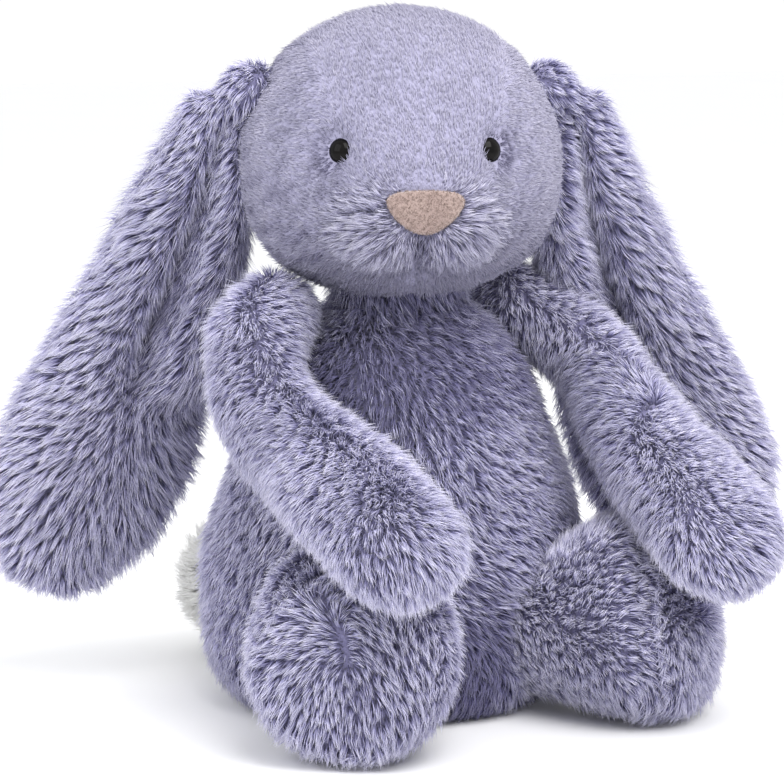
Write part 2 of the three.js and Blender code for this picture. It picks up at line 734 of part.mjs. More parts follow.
function buildTrunk() {
  const skin = trunkSkin();
  const hips = SIDES.map(({ sign }) => ball(dentRadius(LEG.rootRadius), hipOf(sign)));
  const dents = [
    ...SIDES.map(({ sign }) => ball(dentRadius(ARM.rootRadius), shoulderOf(sign))),
    ...hips,
    ...SIDES.flatMap(({ sign }) => legDents(sign)),
    ball(dentRadius(TAIL.rootRadius), TAIL_ROOT),
  ];
  const panelTop = SEAT.thickness + SEAM_GAP;
  const around = 2 * SEAM_GAP;
  const panelRoom = ellipticDisc(SEAT.width + around, SEAT.depth + around, -SEAM_GAP, panelTop);
  const pouch = (grow) => {
    const shape = new THREE.SphereGeometry(1, 18, 8).rotateX(Math.PI / 2);
    shape.scale(POUCH.width / 2 + grow, POUCH.depth / 2 + grow, POUCH.height / 2 + grow);
    return shape.translate(0, 0, panelTop + SEAM_GAP + POUCH.height / 2);
  };
  const trunk = new THREE.Group();
  trunk.add(
    piece('body_cover', carve(sleeve(skin, 0), panelRoom, ...dents), 'plush'),
    piece('body_stuffing', carve(filling(skin), panelRoom, pouch(SEAM_GAP), ...dents), 'fibre'),
    piece('seat_panel', ellipticDisc(SEAT.width, SEAT.depth, 0, SEAT.thickness), 'plush'),
    piece('bean_pouch', carve(pouch(0), ...hips), 'ticking'),
  );
  return trunk;
}

// ---------------------------------------------------------------- the whole toy

const bunny = new THREE.Group();
bunny.add(buildTrunk(), buildHead(), buildTail());
SIDES.forEach(({ name, sign }) => bunny.add(buildArm(name, sign), buildLeg(name, sign)));

export default bunny;
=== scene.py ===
"""The looks of a sitting plush bunny: sewn skins, combed pile, safety eyes and a suede nose."""
import json
import logging
import math
from dataclasses import dataclass, field
from enum import Enum
from itertools import product

import bmesh
import bpy
import numpy as np
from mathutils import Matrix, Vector


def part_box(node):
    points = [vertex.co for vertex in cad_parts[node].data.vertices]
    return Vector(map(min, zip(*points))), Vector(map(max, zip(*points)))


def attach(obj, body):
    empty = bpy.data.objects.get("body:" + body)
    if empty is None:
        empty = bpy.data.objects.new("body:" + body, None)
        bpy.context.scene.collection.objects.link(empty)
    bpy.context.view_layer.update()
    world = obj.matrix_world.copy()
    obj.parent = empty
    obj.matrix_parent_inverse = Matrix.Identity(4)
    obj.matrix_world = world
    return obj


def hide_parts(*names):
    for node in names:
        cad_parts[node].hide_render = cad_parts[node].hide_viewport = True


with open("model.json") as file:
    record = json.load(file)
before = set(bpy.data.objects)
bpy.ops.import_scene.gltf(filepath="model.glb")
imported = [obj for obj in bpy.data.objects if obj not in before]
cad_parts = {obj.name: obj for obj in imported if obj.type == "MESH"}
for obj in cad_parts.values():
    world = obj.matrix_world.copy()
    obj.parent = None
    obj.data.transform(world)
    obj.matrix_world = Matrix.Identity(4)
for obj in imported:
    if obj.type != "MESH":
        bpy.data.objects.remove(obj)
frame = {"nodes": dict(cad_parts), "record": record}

LOG = logging.getLogger("bunny")
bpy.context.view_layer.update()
MM = 0.001
FLOOR_CLEARANCE = 0.2 * MM
BAKE_MAP = "OFBake"
STRANDS_PER_PIECE = 19_000
STRAND_POINTS = 7
ROOT_DEPTH = 0.4 * MM
CLOTH_STEPS = 20
EAR_BINS = 24
WAVES_PER_FIELD = 4
HASH_SPREAD = 43758.5453
RGB = tuple[float, float, float]


# ---------------------------------------------------------------- small vector helpers

def unit(vectors: np.ndarray) -> np.ndarray:
    """Vectors scaled to length one along their last axis."""
    return vectors / np.maximum(np.linalg.norm(vectors, axis=-1, keepdims=True), 1e-12)


def smooth(low: float, high: float, values: np.ndarray) -> np.ndarray:
    """A smooth step from 0 at low to 1 at high; low may be the greater of the two."""
    t = np.clip((values - low) / (high - low), 0, 1)
    return t * t * (3 - 2 * t)


def bump(distance: np.ndarray, reach: float) -> np.ndarray:
    """A round hill: 1 at distance 0, fading to nothing a little past reach."""
    return np.exp(-(distance / reach) ** 2)


def wander(points: np.ndarray, scale: float, seed: int) -> np.ndarray:
    """A smooth random vector field, each component within about -1 to 1.

    Args:
        points: Places to read, n by 3, in metres.
        scale: Distance over which the field turns, in metres.
        seed: Which field.
    Returns:
        n by 3 vectors.
    """
    rng = np.random.default_rng(seed)
    out = np.zeros_like(points)
    for _ in range(WAVES_PER_FIELD):
        waves = rng.normal(size=(3, 3)) / scale
        out += np.sin(points @ waves + rng.uniform(0, math.tau, 3))
    return out / 2


def lattice_hash(cells: np.ndarray, seed: int) -> np.ndarray:
    """Three repeatable random numbers from 0 to 1 for each whole-numbered cell."""
    keys = np.array([[12.9898, 78.233, 37.719], [39.346, 11.135, 83.155], [73.156, 52.235, 9.151]])
    return np.modf(np.abs(np.sin(cells @ keys.T + seed * 1.7)) * HASH_SPREAD)[0]


def tufts(points: np.ndarray, size: float, seed: int) -> tuple[np.ndarray, np.ndarray]:
    """The tuft each point belongs to.

    Args:
        points: Strand roots, n by 3.
        size: Distance between tufts.
        seed: Which arrangement.
    Returns:
        The middle of each point's tuft, n by 3, and three random numbers of that tuft, n by 3.
    """
    home = np.floor(points / size)
    best = np.full(len(points), np.inf)
    middle = np.zeros_like(points)
    dice = np.zeros_like(points)
    for step in product((-1, 0, 1), repeat=3):
        cells = home + step
        there = (cells + lattice_hash(cells, seed)) * size
        gap = ((points - there) ** 2).sum(1)
        near = gap < best
        best[near] = gap[near]
        middle[near] = there[near]
        dice[near] = lattice_hash(cells[near], seed + 5)
    return middle, dice


# ---------------------------------------------------------------- shader building

class Wire:
    """An output socket that can be used in a Python expression."""

    def __init__(self, graph: "Graph", socket: bpy.types.NodeSocket) -> None:
        """Keeps the socket and the graph it belongs to."""
        self.graph = graph
        self.socket = socket

    def _math(self, operation: str, *values: "Wire | float") -> "Wire":
        """A Math node on values."""
        return self.graph.node("ShaderNodeMath", {"operation": operation}, dict(enumerate(values)))

    def __add__(self, other: "Wire | float") -> "Wire":
        """self + other."""
        return self._math("ADD", self, other)

    __radd__ = __add__

    def __mul__(self, other: "Wire | float") -> "Wire":
        """self * other."""
        return self._math("MULTIPLY", self, other)

    __rmul__ = __mul__

    def __sub__(self, other: "Wire | float") -> "Wire":
        """self - other."""
        return self._math("SUBTRACT", self, other)

    def __rsub__(self, other: "Wire | float") -> "Wire":
        """other - self."""
        return self._math("SUBTRACT", other, self)


class Graph:
    """The nodes of one material, ending in a Principled shader."""

    def __init__(self, name: str) -> None:
        """Starts an empty material.

        Args:
            name: The material's name.
        """
        self.material = bpy.data.materials.new(name)
        self.material.use_nodes = True
        self.tree = self.material.node_tree
        self.tree.nodes.clear()

    def node(self, kind: str, settings: dict | None = None, inputs: dict | None = None,
             output: int | str = 0) -> Wire:
        """Adds a node.

        Args:
            kind: The node's type.
            settings: Its own settings, set before the sockets; "stops" fills a ramp.
            inputs: Values or wires by socket name or number.
            output: The output socket that the result stands for.
        Returns:
            That output.
        """
        made = self.tree.nodes.new(kind)
        for key, value in (settings or {}).items():
            if key == "stops":
                self._fill_ramp(made.color_ramp, value)
            else:
                setattr(made, key, value)
        for key, value in (inputs or {}).items():
            if isinstance(value, Wire):
                self.tree.links.new(value.socket, made.inputs[key])
            else:
                made.inputs[key].default_value = value
        return Wire(self, made.outputs[output])

    @staticmethod
    def _fill_ramp(ramp: bpy.types.ColorRamp, stops: list[tuple[float, RGB]]) -> None:
        """Gives a colour ramp its stops."""
        while len(ramp.elements) < len(stops):
            ramp.elements.new(1.0)
        for element, (place, colour) in zip(ramp.elements, stops):
            element.position = place
            element.color = (*colour, 1)

    def ramp(self, factor: Wire, stops: list[tuple[float, RGB]]) -> Wire:
        """A colour read off stops by factor."""
        return self.node("ShaderNodeValToRGB", {"stops": stops}, {"Fac": factor})

    def blend(self, kind: str, factor: Wire | float, first: Wire | RGB, second: Wire | RGB) -> Wire:
        """Mixes two colours.

        Args:
            kind: The mix, such as MIX or MULTIPLY.
            factor: How much of the second.
            first: The colour below.
            second: The colour above.
        Returns:
            The mixed colour.
        """
        settings = {"data_type": "RGBA", "blend_type": kind}
        colours = [c if isinstance(c, Wire) else (*c, 1) for c in (first, second)]
        return self.node("ShaderNodeMix", settings, {0: factor, 6: colours[0], 7: colours[1]}, 2)

    def place(self) -> Wire:
        """The place on the object, in metres."""
        return self.node("ShaderNodeTexCoord", output="Object")

    def noise(self, scale: float, detail: float = 3, roughness: float = 0.6) -> Wire:
        """Cloudy noise over the object, from 0 to 1; scale is in waves per metre."""
        values = {"Vector": self.place(), "Scale": scale, "Detail": detail, "Roughness": roughness}
        return self.node("ShaderNodeTexNoise", None, values)

    def cells(self, scale: float) -> Wire:
        """Distance to the nearest cell middle over the object; scale is in cells per metre."""
        return self.node("ShaderNodeTexVoronoi", None, {"Vector": self.place(), "Scale": scale})

    def relief(self, height: Wire, depth: float) -> Wire:
        """A normal bent by a height field that is depth metres deep."""
        return self.node("ShaderNodeBump", None, {"Height": height, "Distance": depth})

    def finish(self, **sockets: "Wire | float | tuple") -> bpy.types.Material:
        """Closes the graph with a Principled shader.

        Args:
            sockets: Its inputs, with _ for each space in a name.
        Returns:
            The material.
        """
        named = {key.replace("_", " "): value for key, value in sockets.items()}
        shader = self.node("ShaderNodeBsdfPrincipled", None, named, "BSDF")
        self.node_output(shader)
        return self.material

    def node_output(self, shader: Wire) -> None:
        """Links a shader to the material's surface."""
        end = self.tree.nodes.new("ShaderNodeOutputMaterial")
        self.tree.links.new(shader.socket, end.inputs["Surface"])


# ---------------------------------------------------------------- finishes

@dataclass(frozen=True)
class PileFinish:
    """Fibres darker down in the pile as painted shade, paler at the tips, no two quite alike."""

    name: str
    # root: painted shade down in the pile, where the strands shade each other
    root: RGB
    middle: RGB
    tip: RGB
    # shade and light: what a strand's tone scales its colour towards; the tone holds painted light
    # and painted shade besides each strand's own random tone
    shade: RGB
    light: RGB
    roughness: float = 0.62
    sheen: float = 0.35
    middle_at: float = 0.42
    tip_at: float = 0.92

    def material(self) -> bpy.types.Material:
        """The strands' material, read from each strand's tone and from root to tip, with painted
        shade at the root.
        """
        g = Graph(self.name)
        where = g.node("ShaderNodeUVMap", {"uv_map": BAKE_MAP})
        parts = g.node("ShaderNodeSeparateXYZ", None, {0: where})
        tone = Wire(g, parts.socket.node.outputs["X"])
        along = Wire(g, parts.socket.node.outputs["Y"])
        # root to tip: the dark root colour is painted shade down in the pile
        stops = [(0.0, self.root), (self.middle_at, self.middle), (self.tip_at, self.tip)]
        fibre = g.ramp(along, stops)
        # painted light and painted shade, mixed with each strand's own tone, scale the fibre colour
        painted_light_and_tone = g.ramp(tone, [(0.0, self.shade), (0.5, (1, 1, 1)), (1.0, self.light)])
        colour = g.blend("MULTIPLY", 1.0, fibre, painted_light_and_tone)
        rough = 0.1 * tone + self.roughness
        return g.finish(Base_Color=colour, Roughness=rough, Sheen_Weight=self.sheen,
                        Sheen_Roughness=0.45, Sheen_Tint=(*self.tip, 1), Specular_IOR_Level=0.25)


@dataclass(frozen=True)
class KnitFinish:
    """The knitted backing that the pile is tied into."""

    name: str
    thread: RGB
    gap: RGB
    stitches: float = 900

    def material(self) -> bpy.types.Material:
        """A fine knit, seen only where the pile parts."""
        g = Graph(self.name)
        loops = g.cells(self.stitches)
        cloud = g.noise(60)
        # the gap colour, in cloudy patches, is painted shade between the stitches; the middles of the
        # stitches keep the thread colour
        mottle = g.ramp(cloud, [(0.3, self.gap), (0.7, self.thread)])
        colour = g.blend("MIX", 1 - loops, mottle, self.thread)
        return g.finish(Base_Color=colour, Roughness=0.08 * cloud + 0.85,
                        Normal=g.relief(loops, 0.3 * MM), Sheen_Weight=0.2)


@dataclass(frozen=True)
class SuedeFinish:
    """Napped cloth with fine crossing fibres and cloudy worn, pinker patches."""

    name: str
    nap: RGB
    worn: RGB

    def material(self) -> bpy.types.Material:
        """The nose's cloth."""
        g = Graph(self.name)
        fleck = g.noise(1500, 6, 0.75)
        cloud = g.noise(180, 3)
        colour = g.ramp(0.6 * fleck + 0.4 * cloud, [(0.32, self.worn), (0.62, self.nap)])
        return g.finish(Base_Color=colour, Roughness=0.1 * fleck + 0.82,
                        Normal=g.relief(fleck, 0.5 * MM), Sheen_Weight=0.5, Sheen_Roughness=0.5)


@dataclass(frozen=True)
class GlossFinish:
    """Polished moulded plastic with faint moulding marks and handling haze."""

    name: str
    body: RGB
    haze: RGB
    roughness: float
    coat: float
    gloss: float

    def material(self) -> bpy.types.Material:
        """The plastic."""
        g = Graph(self.name)
        smear = g.noise(420, 4)
        colour = g.ramp(smear, [(0.35, self.body), (0.75, self.haze)])
        return g.finish(Base_Color=colour, Roughness=0.06 * smear + self.roughness,
                        Normal=g.relief(smear, 0.01 * MM), Coat_Weight=self.coat,
                        Coat_Roughness=0.02, Specular_IOR_Level=self.gloss)


@dataclass(frozen=True)
class FleeceFinish:
    """Loose white fibre or plain woven cotton: a pale cloth that is all small relief."""

    name: str
    high: RGB
    low: RGB
    grain: float
    depth: float

    def material(self) -> bpy.types.Material:
        """The cloth."""
        g = Graph(self.name)
        strands = g.noise(self.grain, 8, 0.7)
        colour = g.ramp(strands, [(0.3, self.low), (0.7, self.high)])
        return g.finish(Base_Color=colour, Roughness=0.1 * strands + 0.85,
                        Normal=g.relief(strands, self.depth), Sheen_Weight=0.2)


class Finish(Enum):
    """Every finish on the toy, each made once."""

    # Each pile's root colour is painted shade down in the pile.
    LONG_PILE = PileFinish("lavender_long_pile", (0.044, 0.041, 0.110), (0.308, 0.298, 0.535),
                           (0.850, 0.838, 1.000), (0.34, 0.33, 0.44), (1.32, 1.31, 1.22))
    SHORT_PILE = PileFinish("lavender_short_pile", (0.300, 0.290, 0.400), (0.355, 0.346, 0.465),
                            (0.415, 0.406, 0.530), (0.36, 0.35, 0.44), (1.28, 1.27, 1.21))
    MUZZLE_PILE = PileFinish("lavender_muzzle_pile", (0.110, 0.104, 0.200), (0.320, 0.310, 0.470),
                             (0.650, 0.640, 0.780), (0.48, 0.47, 0.56), (1.30, 1.29, 1.20))
    TAIL_PILE = PileFinish("tail_long_pile", (0.90, 0.90, 0.88), (0.95, 0.95, 0.93),
                           (0.98, 0.98, 0.97), (0.95, 0.95, 0.94), (1.0, 1.0, 1.0))
    HEAD_KNIT = KnitFinish("head_knit", (0.33, 0.32, 0.455), (0.29, 0.28, 0.41))
    # the lavender backing is partly its own colour and partly painted shade: kept dark so that
    # partings in the pile read dark
    LAVENDER_KNIT = KnitFinish("lavender_knit", (0.20, 0.19, 0.33), (0.12, 0.115, 0.22))
    WHITE_KNIT = KnitFinish("white_knit", (0.72, 0.72, 0.68), (0.55, 0.55, 0.52))
    SUEDE = SuedeFinish("nose_cloth", (0.400, 0.300, 0.270), (0.330, 0.235, 0.220))
    NAP = PileFinish("nose_nap", (0.200, 0.145, 0.132), (0.240, 0.182, 0.162),
                     (0.290, 0.226, 0.200), (0.80, 0.76, 0.76), (1.22, 1.22, 1.22), 0.8, 0.1)
    EYE = GlossFinish("polished_eye", (0.0035, 0.0033, 0.0036), (0.006, 0.005, 0.005), 0.05, 0.0, 0.1)
    WASHER = GlossFinish("moulded_washer", (0.70, 0.70, 0.69), (0.80, 0.80, 0.79), 0.38, 0.0, 0.5)
    FIBRE = FleeceFinish("loose_fibre", (0.92, 0.92, 0.90), (0.72, 0.72, 0.70), 260, 1.5 * MM)
    COTTON = FleeceFinish("woven_cotton", (0.78, 0.74, 0.64), (0.58, 0.54, 0.45), 1400, 0.4 * MM)

    def material(self) -> bpy.types.Material:
        """The finish's material, built the first time it is asked for."""
        return bpy.data.materials.get(self.value.name) or self.value.material()


# ---------------------------------------------------------------- meshes

def mesh_object(name: str, points: np.ndarray, faces: list | np.ndarray) -> bpy.types.Object:
    """A smooth-shaded object in the scene.

    Args:
        name: The object's name.
        points: Its vertices, n by 3, in metres.
        faces: Its faces as vertex numbers.
    Returns:
        The object.
    """
    mesh = bpy.data.meshes.new(name)
    mesh.from_pydata([tuple(p) for p in points], [], [tuple(f) for f in faces])
    mesh.shade_smooth()
    made = bpy.data.objects.new(name, mesh)
    bpy.context.scene.collection.objects.link(made)
    return made


def points_of(obj: bpy.types.Object) -> np.ndarray:
    """An object's vertices, n by 3."""
    flat = np.empty(len(obj.data.vertices) * 3)
    obj.data.vertices.foreach_get("co", flat)
    return flat.reshape(-1, 3)


def normals_of(obj: bpy.types.Object) -> np.ndarray:
    """An object's vertex normals, n by 3."""
    flat = np.empty(len(obj.data.vertices) * 3, np.float32)
    obj.data.vertex_normals.foreach_get("vector", flat)
    return flat.reshape(-1, 3).astype(float)


def move_points(obj: bpy.types.Object, points: np.ndarray) -> None:
    """Gives an object new vertex places."""
    obj.data.vertices.foreach_set("co", points.ravel())
    obj.data.update()


def settle(obj: bpy.types.Object) -> None:
    """Applies an object's modifiers to its mesh."""
    graph = bpy.context.evaluated_depsgraph_get()
    done = bpy.data.meshes.new_from_object(obj.evaluated_get(graph))
    obj.modifiers.clear()
    obj.data = done
    obj.data.shade_smooth()


def keep_largest(obj: bpy.types.Object) -> None:
    """Drops every loose part of a mesh but the one that spans the most."""
    work = bmesh.new()
    work.from_mesh(obj.data)
    left = set(work.verts)
    best: list[bmesh.types.BMVert] = []
    best_span = 0.0
    while left:
        seed = left.pop()
        part, edge = [seed], [seed]
        while edge:
            for link in edge.pop().link_edges:
                for vert in link.verts:
                    if vert in left:
                        left.discard(vert)
                        part.append(vert)
                        edge.append(vert)
        span = sum(max(v.co[k] for v in part) - min(v.co[k] for v in part) for k in range(3))
        if span > best_span:
            best, best_span = part, span
    keep = set(best)
    bmesh.ops.delete(work, geom=[v for v in work.verts if v not in keep], context="VERTS")
    work.to_mesh(obj.data)
    work.free()


def cloth_from(name: str, nodes: list[str], voxel: float, relax: int = 6,
               shrink: float = 0.0) -> bpy.types.Object:
    """One soft closed skin round some CAD solids.

    Args:
        name: The new object's name.
        nodes: The CAD nodes it covers.
        voxel: Size of the remesh, in metres.
        relax: Smoothing passes that take out the facets.
        shrink: How far inside the solids' faces the skin lies, in metres.
    Returns:
        The skin.
    """
    points, faces, start = [], [], 0
    for node in nodes:
        source = frame["nodes"][node]
        points.append(points_of(source))
        faces += [[start + v for v in p.vertices] for p in source.data.polygons]
        start += len(points[-1])
    skin = mesh_object(name, np.vstack(points), faces)
    remesh = skin.modifiers.new("weave", "REMESH")
    remesh.mode = "VOXEL"
    remesh.voxel_size = voxel
    settle(skin)
    keep_largest(skin)
    if shrink:
        move_points(skin, points_of(skin) - shrink * normals_of(skin))
    ease = skin.modifiers.new("ease", "CORRECTIVE_SMOOTH")
    ease.iterations = relax
    ease.smooth_type = "LENGTH_WEIGHTED"
    ease.use_only_smooth = True
    ease.factor = 0.5
    settle(skin)
    return skin


def blow_up(skins: dict[bpy.types.Object, float], pressure: float = 4.0) -> None:
    """Fills stuffed skins out by a short cloth simulation, then adds one subdivision.

    Args:
        skins: Each skin with the farthest its cloth may move, in metres.
        pressure: The push of the stuffing from within.
    """
    before = {skin: points_of(skin) for skin in skins}
    for skin in skins:
        cloth = skin.modifiers.new("stuffing", "CLOTH")
        cloth.settings.use_pressure = True
        cloth.settings.uniform_pressure_force = pressure
        cloth.settings.effector_weights.gravity = 0
        cloth.settings.quality = 5
        cloth.settings.mass = 0.3
        cloth.settings.tension_stiffness = 15
        cloth.settings.compression_stiffness = 15
        cloth.settings.bending_stiffness = 0.5
    for step in range(1, CLOTH_STEPS + 1):
        bpy.context.scene.frame_set(step)
    for skin, reach in skins.items():
        settle(skin)
        moved = points_of(skin) - before[skin]
        far = np.linalg.norm(moved, axis=1, keepdims=True)
        move_points(skin, before[skin] + moved * np.minimum(1, reach / np.maximum(far, 1e-9)))
        fine = skin.modifiers.new("fine", "SUBSURF")
        fine.levels = fine.render_levels = 1
        settle(skin)
    bpy.context.scene.frame_set(1)


def dress(obj: bpy.types.Object, finish: Finish, body: str) -> None:
    """Gives a piece its material and the body it moves with."""
    obj.data.materials.clear()
    obj.data.materials.append(finish.material())
    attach(obj, body)


# ---------------------------------------------------------------- pile

@dataclass(frozen=True)
class Pile:
    """How the pile of one piece of fur fabric is cut and lies; lengths in metres."""

    length: float
    width: float
    density: float
    rise: float = 38
    fall: float = 72
    tuft: float = 3.2 * MM
    gather: float = 0.55
    turn: float = 0.35
    uneven: float = 0.22
    stray: float = 0.16
    mottle: float = 0.35
    scatter: float = 0.1
    # core: how strongly the tone paints light on the middle of each tuft and shade at its edges
    core: float = 0.55


@dataclass
class Roots:
    """Where the strands of one coat start, and how each one lies."""

    points: np.ndarray
    normals: np.ndarray
    lay: np.ndarray
    length: np.ndarray
    tone: np.ndarray

    def take(self, keep: np.ndarray) -> "Roots":
        """Some of the roots, by mask or by order."""
        return Roots(self.points[keep], self.normals[keep], self.lay[keep],
                     self.length[keep], self.tone[keep])


def scatter(skin: bpy.types.Object, density: float, rng: np.random.Generator) -> Roots:
    """Spreads roots evenly over a skin.

    Args:
        skin: The skin.
        density: Roots per square millimetre.
        rng: The random source.
    Returns:
        Roots with no lay, length one and middle tone.
    """
    mesh = skin.data
    mesh.calc_loop_triangles()
    corners = np.empty(len(mesh.loop_triangles) * 3, np.int32)
    mesh.loop_triangles.foreach_get("vertices", corners)
    corners = corners.reshape(-1, 3)
    points, normals = points_of(skin), normals_of(skin)
    a, b, c = (points[corners[:, k]] for k in range(3))
    area = np.linalg.norm(np.cross(b - a, c - a), axis=1) / 2
    count = int(area.sum() / MM ** 2 * density)
    pick = np.searchsorted(np.cumsum(area), rng.uniform(0, area.sum(), count))
    pick = np.minimum(pick, len(area) - 1)
    share = rng.dirichlet((1, 1, 1), count)
    chosen = corners[pick]
    at = (points[chosen] * share[:, :, None]).sum(1)
    out = unit((normals[chosen] * share[:, :, None]).sum(1))
    return Roots(at, out, np.zeros_like(at), np.ones(count), np.full(count, 0.5))


def along_surface(vectors: np.ndarray, normals: np.ndarray) -> np.ndarray:
    """The part of each vector that lies in the surface."""
    return vectors - (vectors * normals).sum(1, keepdims=True) * normals


def strand_mesh(name: str, roots: Roots, pile: Pile, rng: np.random.Generator) -> bpy.types.Object:
    """Builds closed three-sided tapering strands.

    Args:
        name: The object's name.
        roots: Where the strands start and how they lie.
        pile: The cut of the pile.
        rng: The random source.
    Returns:
        One object holding every strand.
    """
    count = len(roots.points)
    seed = int(rng.integers(1 << 16))
    middle, dice = tufts(roots.points, pile.tuft, seed)
    inward = along_surface(middle - roots.points, roots.normals)
    core = 1 - np.clip(np.linalg.norm(inward, axis=1, keepdims=True) / (0.75 * pile.tuft), 0, 1)
    lay = unit(along_surface(roots.lay, roots.normals))
    side = np.cross(roots.normals, lay)
    swing = pile.turn * (2 * dice[:, :1] - 1) + pile.stray * rng.normal(size=(count, 1))
    lay = unit(lay * np.cos(swing) + side * np.sin(swing))
    tilt = 9 * rng.normal(size=(count, 1)) + 12 * (dice[:, 1:2] - 0.5)
    rise = np.radians(np.clip(pile.rise + tilt, 4, 86))
    fall = np.radians(np.clip(pile.fall + tilt, 8, 96))
    uneven = 1 + pile.uneven * rng.uniform(-1, 0.6, (count, 1)) + 0.12 * (dice[:, 2:] - 0.5)
    half = roots.length[:, None] * pile.length * uneven * (0.86 + 0.28 * core) / 2
    first = np.cos(rise) * roots.normals + np.sin(rise) * lay
    second = np.cos(fall) * roots.normals + np.sin(fall) * lay
    pull = pile.gather * inward
    base = roots.points - ROOT_DEPTH * roots.normals
    bend = base + first * half + 0.4 * pull
    tip = bend + second * half + 0.6 * pull
    across = unit(np.cross(first, roots.normals + 0.01))
    up = np.cross(across, unit(first))
    ring = np.empty((count, STRAND_POINTS, 3))
    spin = rng.uniform(0, math.tau, (count, 1))
    radius = pile.width / 2 * rng.uniform(0.75, 1.2, (count, 1))
    for k in range(3):
        angle = spin + k * math.tau / 3
        offset = radius * (np.cos(angle) * across + np.sin(angle) * up)
        ring[:, k] = base + offset
        ring[:, 3 + k] = bend + 0.8 * offset
    ring[:, 6] = tip
    ring[..., 2] = np.maximum(ring[..., 2], FLOOR_CLEARANCE)
    quads = [(k, (k + 1) % 3, 3 + (k + 1) % 3, 3 + k) for k in range(3)]
    ends = [(3 + k, 3 + (k + 1) % 3, 6) for k in range(3)] + [(2, 1, 0)]
    pattern = np.array([v for face in quads + ends for v in face])
    sizes = np.array([4] * 3 + [3] * 4)
    loops = (pattern[None] + STRAND_POINTS * np.arange(count)[:, None]).ravel()
    starts = (np.cumsum(sizes) - sizes)[None] + len(pattern) * np.arange(count)[:, None]
    mesh = bpy.data.meshes.new(name)
    mesh.vertices.add(STRAND_POINTS * count)
    mesh.vertices.foreach_set("co", ring.ravel())
    mesh.loops.add(len(loops))
    mesh.loops.foreach_set("vertex_index", loops.astype(np.int32))
    mesh.polygons.add(len(sizes) * count)
    mesh.polygons.foreach_set("loop_start", starts.ravel().astype(np.int32))
    mesh.update(calc_edges=True)
    mesh.shade_smooth()
    height = np.array([0, 0, 0, 0.5, 0.5, 0.5, 1.0])[pattern]
    spread = np.array([-1, 0, 1, -1, 0, 1, 0])[pattern] * 0.004
    # tone: the comb's tone, random scatter and mottle, and painted light in the middle of each tuft
    # with painted shade at its edges
    tone = np.clip(roots.tone[:, None] + pile.scatter * rng.normal(size=(count, 1))
                   + pile.mottle * (dice[:, :1] - 0.5) + pile.core * (core - 0.45), 0.01, 0.99)
    uv = np.empty((count, len(pattern), 2), np.float32)
    uv[..., 0] = tone + spread[None]
    uv[..., 1] = height[None]
    mesh.uv_layers.new(name=BAKE_MAP).data.foreach_set("uv", uv.ravel())
    made = bpy.data.objects.new(name, mesh)
    bpy.context.scene.collection.objects.link(made)
    return made


@dataclass
class Coat:
    """The pile on one skin, in one or more pieces."""

    name: str
    skin: bpy.types.Object
    pile: Pile
    finish: Finish
    body: str
    slot: str
    seed: int

    def grow(self, comb: "Comb") -> None:
        """Plants, combs and dresses the strands.

        Args:
            comb: Which way the pile lies, how long and how pale it is, and where there is none.
        """
        rng = np.random.default_rng(self.seed)
        roots = comb.apply(scatter(self.skin, self.pile.density, rng))
        roots = roots.take(np.argsort(roots.points[:, 2], kind="stable"))
        parts = max(1, math.ceil(len(roots.points) / STRANDS_PER_PIECE))
        for number, rows in enumerate(np.array_split(np.arange(len(roots.points)), parts), 1):
            name = self.name if parts == 1 else f"{self.name}_{number}"
            piece = strand_mesh(name, roots.take(rows), self.pile, rng)
            dress(piece, self.finish, self.body)
            LOG.info("%s: %d strands", name, len(rows))


@dataclass
class Comb:
    """Pile combed away from one point and round from a parting; the comb of most pieces."""

    source: np.ndarray
    parting: tuple[float, float, float] = (0, 0, 0)
    hang: float = 0.35
    drift: float = 0.35
    scale: float = 18 * MM
    seed: int = 1

    def lay(self, roots: Roots) -> np.ndarray:
        """Directions, not yet laid in the surface."""
        away = unit(roots.points - self.source)
        aside = -along_surface(np.broadcast_to(self.parting, away.shape), roots.normals)
        swirl = self.drift * wander(roots.points, self.scale, self.seed)
        return away + aside + np.array([0, 0, -self.hang]) + swirl

    def length(self, roots: Roots) -> np.ndarray:
        """Each strand's share of the full length."""
        return 1 + 0.12 * wander(roots.points, 9 * MM, self.seed + 1)[:, 0]

    def tone(self, roots: Roots) -> np.ndarray:
        """Each strand's tone before its own scatter."""
        return 0.5 + 0.1 * wander(roots.points, 14 * MM, self.seed + 2)[:, 0]

    def bare(self, roots: Roots) -> np.ndarray:
        """True where no strand grows."""
        return np.zeros(len(roots.points), bool)

    def apply(self, roots: Roots) -> Roots:
        """Combs the roots and drops the bare ones."""
        roots = roots.take(~self.bare(roots))
        roots.lay = self.lay(roots)
        roots.length = self.length(roots)
        roots.tone = self.tone(roots)
        return roots


# ---------------------------------------------------------------- places from the frame

def middle_of(node: str) -> np.ndarray:
    """The middle of a CAD node's box."""
    low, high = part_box(node)
    return np.array((low + high) / 2)


def pivot_of(joint: str) -> np.ndarray:
    """Where a joint turns, in metres."""
    return np.array(next(j["pos_m"] for j in frame["record"]["behaviour"]["joints"]
                         if j["name"] == joint))


def thin_axis(node: str) -> np.ndarray:
    """The direction in which a CAD node's points spread the least."""
    spread = points_of(frame["nodes"][node])
    spread = spread - spread.mean(0)
    return np.linalg.svd(spread, full_matrices=False)[2][2]


class Side(Enum):
    """The toy's own right and left; right is towards -X."""

    RIGHT = -1
    LEFT = 1

    @property
    def word(self) -> str:
        """The side as it stands in names."""
        return self.name.lower()


# ---------------------------------------------------------------- head

